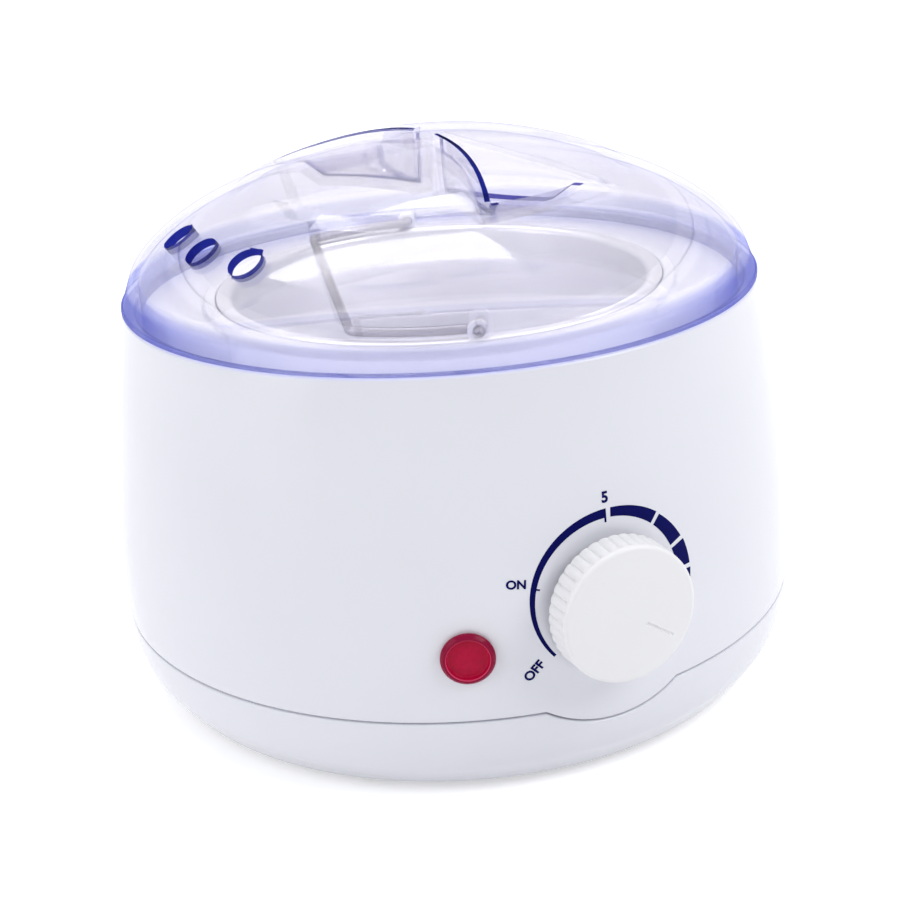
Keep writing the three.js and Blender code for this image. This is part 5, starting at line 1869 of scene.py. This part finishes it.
@dataclass
class Knob:
    """The dial's knob: a smooth face, a ribbed drafted side, an engraved mark and a hub."""

    height: float = 45.1
    back: float = 89.31
    depth: float = 7.88
    back_radius: float = 16.6
    face_radius: float = 16.4
    wall: float = 2.6
    face_wall: float = 2.2
    hub: float = 5.5
    hub_back: float = 0.3
    bore: float = 3.3
    bore_end: float = 2.08
    flat: float = 10.5
    crown: float = 0.12
    ribs: int = 40
    rib_columns: int = 12
    rib_depth: float = 0.8
    rib_start: float = 1.75
    side_rows: int = 8
    mark_turn: float = 125.0
    mark: Pair = (4.4, 12.8)
    mark_width: float = 0.8
    mark_depth: float = 0.3
    mark_foot: float = 0.72
    sharp: float = 42.0

    def outline(self) -> Array:
        """Gives the outline from the bore over the hub, wall and side to the face."""
        front, back, face = self.depth, self.back_radius, self.face_radius
        inner = face - self.wall
        points = profile(
            [
                (0, front - self.bore_end, 0),
                (self.bore, front - self.bore_end, 0.1),
                (self.bore, self.hub_back, 0.1),
                (self.hub, self.hub_back, 0.2),
                (self.hub, front - self.face_wall, 0.4),
                (inner, front - self.face_wall, 0.4),
                (inner + 0.6, 0, 0.2),
                (back, 0, 0.2),
                (back, 1.1, 0.3),
                (back - 0.02, 1.6, 0.4),
                (face + 0.02, front - 2.4, 0.6),
                (face, front - 0.3, 2.1),
                (self.flat, front + 0.02, 4),
                (0, front + self.crown, 0),
            ]
        )
        share = np.linspace(0, 1, self.side_rows + 2)[1:-1, None]
        inward = points[:, 0] < face - 1.4
        at = int(np.argmin(np.abs(points[:, 1] - self.rib_start) + 100 * inward))
        rows = points[at] + share * (points[at + 1] - points[at])
        return np.vstack([points[: at + 1], rows, points[at + 1 :]])

    def side(self) -> Surface:
        """Makes the whole knob by turning its outline, with ribs up its side.

        Each rib is a rounded ridge: the side's radius less depth times (1 - sqrt|cos(n a / 2)|), and the
        depth fades towards the rim behind and the face.
        """
        outline = self.outline()
        angle = angles(self.ribs * self.rib_columns)[None, :]
        radius, reach = outline[:, :1], outline[:, 1:]
        wave = 1 - np.sqrt(np.abs(np.cos(self.ribs * angle / 2)) + 0.02)
        fade = smooth((reach + 0.2) / 0.5) * smooth((self.depth - 1.3 - reach) / 1.5)
        size = radius - self.rib_depth * fade * (radius > self.face_radius - 1.5) * wave
        depth = -(self.back + reach + 0 * angle)
        return Surface(np.stack([size * np.sin(angle), depth, self.height + size * np.cos(angle)], axis=-1))

    def groove(self) -> Surface:
        """Makes the mark's cutter: a bar with round ends and a narrower foot, along the mark's turn."""
        half = self.mark_width / 2
        ring = oblong(half, (self.mark[1] - self.mark[0]) / 2 - half, 24)
        size = np.array([0, self.mark_foot, 1, 1, 0])[:, None, None]
        depth = np.array([-self.mark_depth, -self.mark_depth, -0.1, 1, 1])
        flat = ring[None] * np.concatenate([size, np.where(size > 0, 1, 0)], axis=2)
        flat = flat + [0, sum(self.mark) / 2]
        turn = np.radians(self.mark_turn)
        side = np.array([np.cos(turn), 0, -np.sin(turn)])
        out = np.array([np.sin(turn), 0, np.cos(turn)])
        ahead = self.back + self.depth + depth[:, None, None]
        points = flat[..., :1] * side + flat[..., 1:] * out - ahead * np.array([0, 1, 0])
        return Surface(points + np.array([0, 0, self.height]))

    def build(self, looks: Finishes) -> None:
        """Makes and dresses the knob."""
        piece = carve(make_piece("dial_knob", [self.side()], self.sharp), [self.groove()], self.sharp)
        fit(piece, Body.DIAL, Slot.KNOB, looks.knob, "control_knob")


@dataclass
class PilotLamp:
    """The round red lens with its raised ring and sunk disc."""

    turn: float = -22.1
    height: float = 37.0
    face: float = 90.3
    flange: float = 6.25
    flange_wall: float = 1.5
    bevel: Pair = (0.7, 0.8)
    disc: float = 4.5
    ring_slope: Pair = (0.5, 0.1)
    sunk: float = 1.25
    dome: float = 0.55
    body: float = 4.8
    body_length: float = 12.0
    bore: float = 3.4
    bore_end: float = 2.0
    columns: int = 72

    def build(self, looks: Finishes) -> None:
        """Makes and dresses the lens, with its rim in zone 1 and the rim's inner edge in zone 2.

        Args:
            looks: The finishes.
        """
        back = -self.flange_wall
        end = back - self.body_length
        outline = profile(
            [
                (0, -self.bore_end, 0),
                (self.bore, -self.bore_end, 0.3),
                (self.bore, end, 0.2),
                (self.body, end, 0.3),
                (self.body, back, 0.1),
                (self.flange, back, 0.2),
                (self.flange, -self.bevel[1], 0.4),
                (self.flange - self.bevel[0], 0, 0.3),
                (self.disc + self.ring_slope[0], 0, 0.3),
                (self.disc + self.ring_slope[1], -self.sunk, 0.4),
                (0, self.dome - self.sunk, 0),
            ]
        )
        middle = around(self.turn, self.face, self.height)
        lens = placed(turned(outline, self.columns), middle, around(self.turn, 1, 0))
        rings = (outline[1:] + outline[:-1]) / 2
        # The rim's faces take painted shade, and its inner edge's faces a painted highlight.
        rim = (rings[:, 0] > self.disc + 0.62) & (rings[:, 1] > back)
        edge = (rings[:, 0] > self.disc + 0.34) & (rings[:, 1] > -0.3) & ~rim
        lens.zones = (rim * 1.0 + edge * 2.0)[:, None] + np.zeros((1, self.columns))
        fit(make_piece("lamp_cap", [lens]), Body.HOUSING, Slot.LENS, looks.lens, "lamp_lens")


@dataclass
class Gland:
    """The rubber gland in the base's back wall, with a rounded flange outside."""

    height: float = 13.0
    flange: float = 6.0
    flange_wall: float = 1.6
    body: float = 4.3
    bore: float = 3.2

    def build(self, looks: Finishes) -> None:
        """Makes and dresses the gland in its node's own box.

        Args:
            looks: The finishes.
        """
        low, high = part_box("cord_gland")
        back, front = low.y / MM, high.y / MM
        table = [
            (self.bore, back, 0),
            (self.body, back, 0.4),
            (self.body, front - self.flange_wall, 0.1),
            (self.flange, front - self.flange_wall, 0.3),
            (self.flange, front, 0.6),
            (self.bore, front, 0.5),
            (self.bore, back, 0),
        ]
        pipe = placed(hoop(table, 56, 6), (0, 0, self.height), (0, 1, 0))
        fit(make_piece("gland_grommet", [pipe]), Body.HOUSING, Slot.RUBBER, looks.rubber, "cord_gland")


@dataclass
class DialPrint:
    """The scale printed round the knob: a swelling arc, four blocks, two ticks and plain words."""

    form: BodyForm
    inner: float = 18.2
    proud: float = 0.05
    word_proud: float = 0.07
    letter_weight: float = 0.034
    arc: tuple[Pair, ...] = ((-129, 0.7), (-88, 1.15), (-54, 1.5), (0.5, 2.1))
    blocks: tuple[tuple[float, float, float, float], ...] = (
        (3.8, 39.4, 20.3, 21.1),
        (42.2, 66.3, 21.0, 21.7),
        (69.2, 86.3, 22.0, 22.2),
        (89.2, 112.0, 22.3, 22.0),
    )
    ticks: tuple[Triple, ...] = ((-0.3, 17.15, 0.5), (-74.8, 17.4, 0.4))
    words: tuple[tuple[str, float, float, float, float], ...] = (
        ("ON", -21.9, 6.6, 2.15, -6.0),
        ("OFF", -19.4, -14.5, 2.35, 45.0),
        ("5", 0.2, 22.9, 2.6, -1.0),
    )

    def on_wall(self, across: Array, up: Array, out: Array | float) -> Array:
        """Puts points of the dial's plane on the body's side.

        Args:
            across: Places to the right of the dial's axis.
            up: Places above it.
            out: How far a point stands out of the side.

        Returns:
            The points: y = -sqrt(R(z)^2 - x^2) less what they stand out.
        """
        height = self.form.knob_height + up
        depth = np.sqrt(self.form.outer_at(height) ** 2 - across**2) + out
        return np.stack([across, -depth, height], axis=-1)

    def strip(self, turns: Array, inner: Array | float, outer: Array | float) -> Surface:
        """Makes a thin closed strip between two radii that may vary with the turn.

        Args:
            turns: The turns in degrees, clockwise from the top.
            inner: The inner radius, one value or one for each turn.
            outer: The outer radius.

        Returns:
            The strip, proud of the side and as far into it.
        """
        angle = np.radians(turns)[None, :]
        share = np.linspace(0, 1, 5)[:, None]
        radius = inner + share * (outer - inner) + 0 * angle
        across, up = radius * np.sin(angle), radius * np.cos(angle)
        front, back = self.on_wall(across, up, self.proud), self.on_wall(across, up, -self.proud)
        points = np.concatenate([front, back[::-1]], axis=0)
        return Surface(points, close_rows=True, close_columns=False, capped=True)

    def scale(self) -> list[Surface]:
        """Makes the arc, the blocks and the ticks."""
        table = np.array(self.arc)
        turns = np.linspace(table[0, 0], table[-1, 0], 90)
        pieces = [self.strip(turns, self.inner, self.inner + np.interp(turns, table[:, 0], table[:, 1]))]
        for start, end, first, last in self.blocks:
            turns = np.linspace(start, end, 24)
            pieces.append(self.strip(turns, self.inner, np.interp(turns, [start, end], [first, last])))
        for turn, low, width in self.ticks:
            spread = np.degrees(width / 2 / self.inner)
            turns = np.linspace(turn - spread, turn + spread, 3)
            pieces.append(self.strip(turns, low, self.inner + 0.1))
        return pieces

    def word(self, text: str, across: float, up: float, size: float, lean: float) -> Piece:
        """Makes a word as a mesh and wraps it on the side.

        Args:
            text: What it says.
            across: Its middle, right of the dial's axis.
            up: Its middle, above the axis.
            size: Its capitals' height.
            lean: Its turn, anticlockwise in degrees.

        Returns:
            The word's object.
        """
        curve = bpy.data.curves.new("word", "FONT")
        curve.body = text
        curve.align_x, curve.align_y = "CENTER", "CENTER"
        curve.offset, curve.extrude, curve.resolution_u = self.letter_weight, 0.05, 6
        source = linked("word", curve)
        graph = bpy.context.evaluated_depsgraph_get()
        mesh = bpy.data.meshes.new_from_object(source.evaluated_get(graph))
        bpy.data.objects.remove(source)
        points = np.empty(len(mesh.vertices) * 3)
        mesh.vertices.foreach_get("co", points)
        points = points.reshape(-1, 3)
        middle = (points.max(axis=0) + points.min(axis=0)) / 2
        tall = points[:, 1].max() - points[:, 1].min()
        flat = (points[:, :2] - middle[:2]) * size / tall
        angle = np.radians(lean)
        spin = np.array([[np.cos(angle), -np.sin(angle)], [np.sin(angle), np.cos(angle)]])
        flat = flat @ spin.T + [across, up]
        out = np.where(points[:, 2] > 0, self.word_proud, -self.proud)
        moved = self.on_wall(flat[:, 0], flat[:, 1], out)
        mesh.vertices.foreach_set("co", (moved * MM).ravel())
        shell = bmesh.new()
        shell.from_mesh(mesh)
        bmesh.ops.remove_doubles(shell, verts=shell.verts, dist=1e-6)
        bmesh.ops.recalc_face_normals(shell, faces=shell.faces)
        shell.to_mesh(mesh)
        shell.free()
        return linked(f"print_{text.lower()}", mesh)

    def build(self, looks: Finishes) -> None:
        """Makes and dresses the print."""
        fit(make_piece("print_scale", self.scale()), Body.HOUSING, Slot.SHELL, looks.ink)
        for entry in self.words:
            fit(self.word(*entry), Body.HOUSING, Slot.SHELL, looks.ink)


@dataclass
class Inside:
    """The hidden parts, which keep their solids and get their finishes."""

    groups: dict[str, tuple[str, ...]] = field(
        default_factory=lambda: {
            "zinc": (
                *("bracket_nut", "fuse_clip", "fuse_nut", "strap_screw", "terminal_screw"),
                *("thermostat_bracket", "thermostat_terminal_left", "thermostat_terminal_right"),
                *("well_screw_1", "well_screw_2", "well_screw_3"),
            ),
            "steel": ("heater_strap", "thermal_fuse", "thermostat_shaft"),
            "sheath": ("heater_band",),
            "wool": ("insulation_wrap",),
            "silicone": ("well_gasket",),
            "ceramic": ("terminal_block", "thermostat_body"),
            "nylon": ("lamp_holder", "lamp_ring"),
            "bulb": ("neon_bulb",),
            "lead": (
                *("lead_fuse", "lead_heater", "lead_live", "lead_neutral"),
                *("lamp_lead_left", "lamp_lead_right"),
            ),
        }
    )

    def build(self, looks: Finishes, nodes: dict[str, Piece]) -> None:
        """Gives each CAD node that stays its finish.

        Args:
            looks: The finishes.
            nodes: The CAD's nodes by name.
        """
        for finish, names in self.groups.items():
            for name in names:
                nodes[name].data.materials.clear()
                nodes[name].data.materials.append(getattr(looks, finish))
                LOG.info("%s: finished as %s", name, finish)


@dataclass(frozen=True)
class SoftBox:
    """A soft rectangular lamp that points at the object's middle, in metres and watts."""

    name: str
    place: Triple
    size: Pair
    power: float
    aim: Triple = (0.0, 0.0, 0.06)

    def hang(self) -> None:
        """Puts the lamp into the scene."""
        data = bpy.data.lights.new(self.name, "AREA")
        data.shape, data.energy = "RECTANGLE", self.power
        data.size, data.size_y = self.size
        way = Vector(self.aim) - Vector(self.place)
        turn = way.to_track_quat("-Z", "Y").to_matrix().to_4x4()
        turn.translation = Vector(self.place)
        linked(self.name, data).matrix_world = turn


@dataclass
class Studio:
    """The floor, the light and the camera, in metres."""

    floor_height: float = -0.00203
    floor_reach: float = 4.0
    floor_colour: Colour = (0.9, 0.9, 0.91)
    floor_glow: Pair = (0.42, 1.0)
    glow_places: Pair = (0.4, 1.3)
    place: Triple = (-0.1606, -0.3823, 0.2129)
    ahead: Triple = (0.3614, 0.8596, -0.3613)
    right: Triple = (0.92186, -0.38752, 0.0)
    above: Triple = (0.1400, 0.3331, 0.93246)
    roll: float = 3.69
    lens: float = 66.3
    world_level: float = 0.475
    world_colour: Colour = (0.96, 0.965, 1.0)
    lamps: tuple[SoftBox, ...] = (
        SoftBox("key_softbox", (0.75, -0.75, 0.95), (0.7, 0.7), 7.4),
        SoftBox("side_softbox", (-1.0, -0.15, 0.5), (0.55, 0.9), 3.4),
        SoftBox("top_softbox", (0.0, 0.35, 1.3), (0.9, 0.9), 6.5),
    )

    def camera(self) -> None:
        """Sets up the photograph's camera: its axes, turned by the roll."""
        data = bpy.data.cameras.new("camera")
        data.lens, data.sensor_width = self.lens, 36.0
        data.clip_start, data.clip_end = 0.01, 20.0
        camera = linked("camera", data)
        turn = np.radians(self.roll)
        right, above = np.array(self.right), np.array(self.above)
        side = right * np.cos(turn) - above * np.sin(turn)
        up = right * np.sin(turn) + above * np.cos(turn)
        axes = np.stack([side, up, -np.array(self.ahead)], axis=1)
        matrix = Matrix(axes.tolist()).to_4x4()
        matrix.translation = Vector(self.place)
        camera.matrix_world = matrix
        bpy.context.scene.camera = camera

    def floor(self) -> None:
        """Lays a pale floor that keeps the soft shadow and shows white.

        Its own glow, which only the camera, mirrors and glass see, grows where the lamps' light falls off.
        """
        reach = self.floor_reach
        corners = [(-reach, -reach), (reach, -reach), (reach, reach), (-reach, reach)]
        mesh = bpy.data.meshes.new("floor")
        mesh.from_pydata([(x, y, self.floor_height) for x, y in corners], [], [(0, 1, 2, 3)])
        floor = linked("floor", mesh)
        nodes = Nodes("white_floor")
        paint = nodes.add("ShaderNodeBsdfDiffuse", Color=(*self.floor_colour, 1))
        level = nodes.between(nodes.length(nodes.places), *self.floor_glow, *self.glow_places)
        shown = nodes.math("MULTIPLY", nodes.seen(), level)
        glow = nodes.add("ShaderNodeEmission", Color=(1, 1, 1, 1), Strength=shown)
        total = nodes.add("ShaderNodeAddShader")
        nodes.link(paint.outputs["BSDF"], total.inputs[0])
        nodes.link(glow.outputs["Emission"], total.inputs[1])
        nodes.output(total.outputs["Shader"])
        floor.data.materials.append(nodes.owner)

    def world(self) -> None:
        """Shows a white backdrop, and lights the object with a softer grey one."""
        nodes = Nodes("studio", world=True)
        bpy.context.scene.world = nodes.owner
        light = nodes.add("ShaderNodeBackground", Color=(*self.world_colour, 1), Strength=self.world_level)
        shown = nodes.add("ShaderNodeBackground", Color=(1, 1, 1, 1), Strength=1.0)
        nodes.output(nodes.mix(nodes.seen(), light, shown))

    def build(self) -> None:
        """Sets up everything round the object."""
        self.camera()
        self.floor()
        self.world()
        for lamp in self.lamps:
            lamp.hang()
        bpy.context.scene.view_settings.view_transform = "Standard"


def main() -> None:
    """Builds the object's pieces in order."""
    logging.basicConfig(level=logging.INFO, format="%(name)s %(message)s")
    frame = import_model()
    looks = Finishes()
    form = BodyForm()
    Housing(form).build(looks)
    Base(form).build(looks)
    Well().build(looks)
    Pot().build(looks)
    Lid().build(looks)
    Knob().build(looks)
    PilotLamp().build(looks)
    Gland().build(looks)
    DialPrint(form).build(looks)
    Inside().build(looks, frame["nodes"])
    Studio().build()
    LOG.info("all pieces made")


if __name__ == "__main__":
    main()
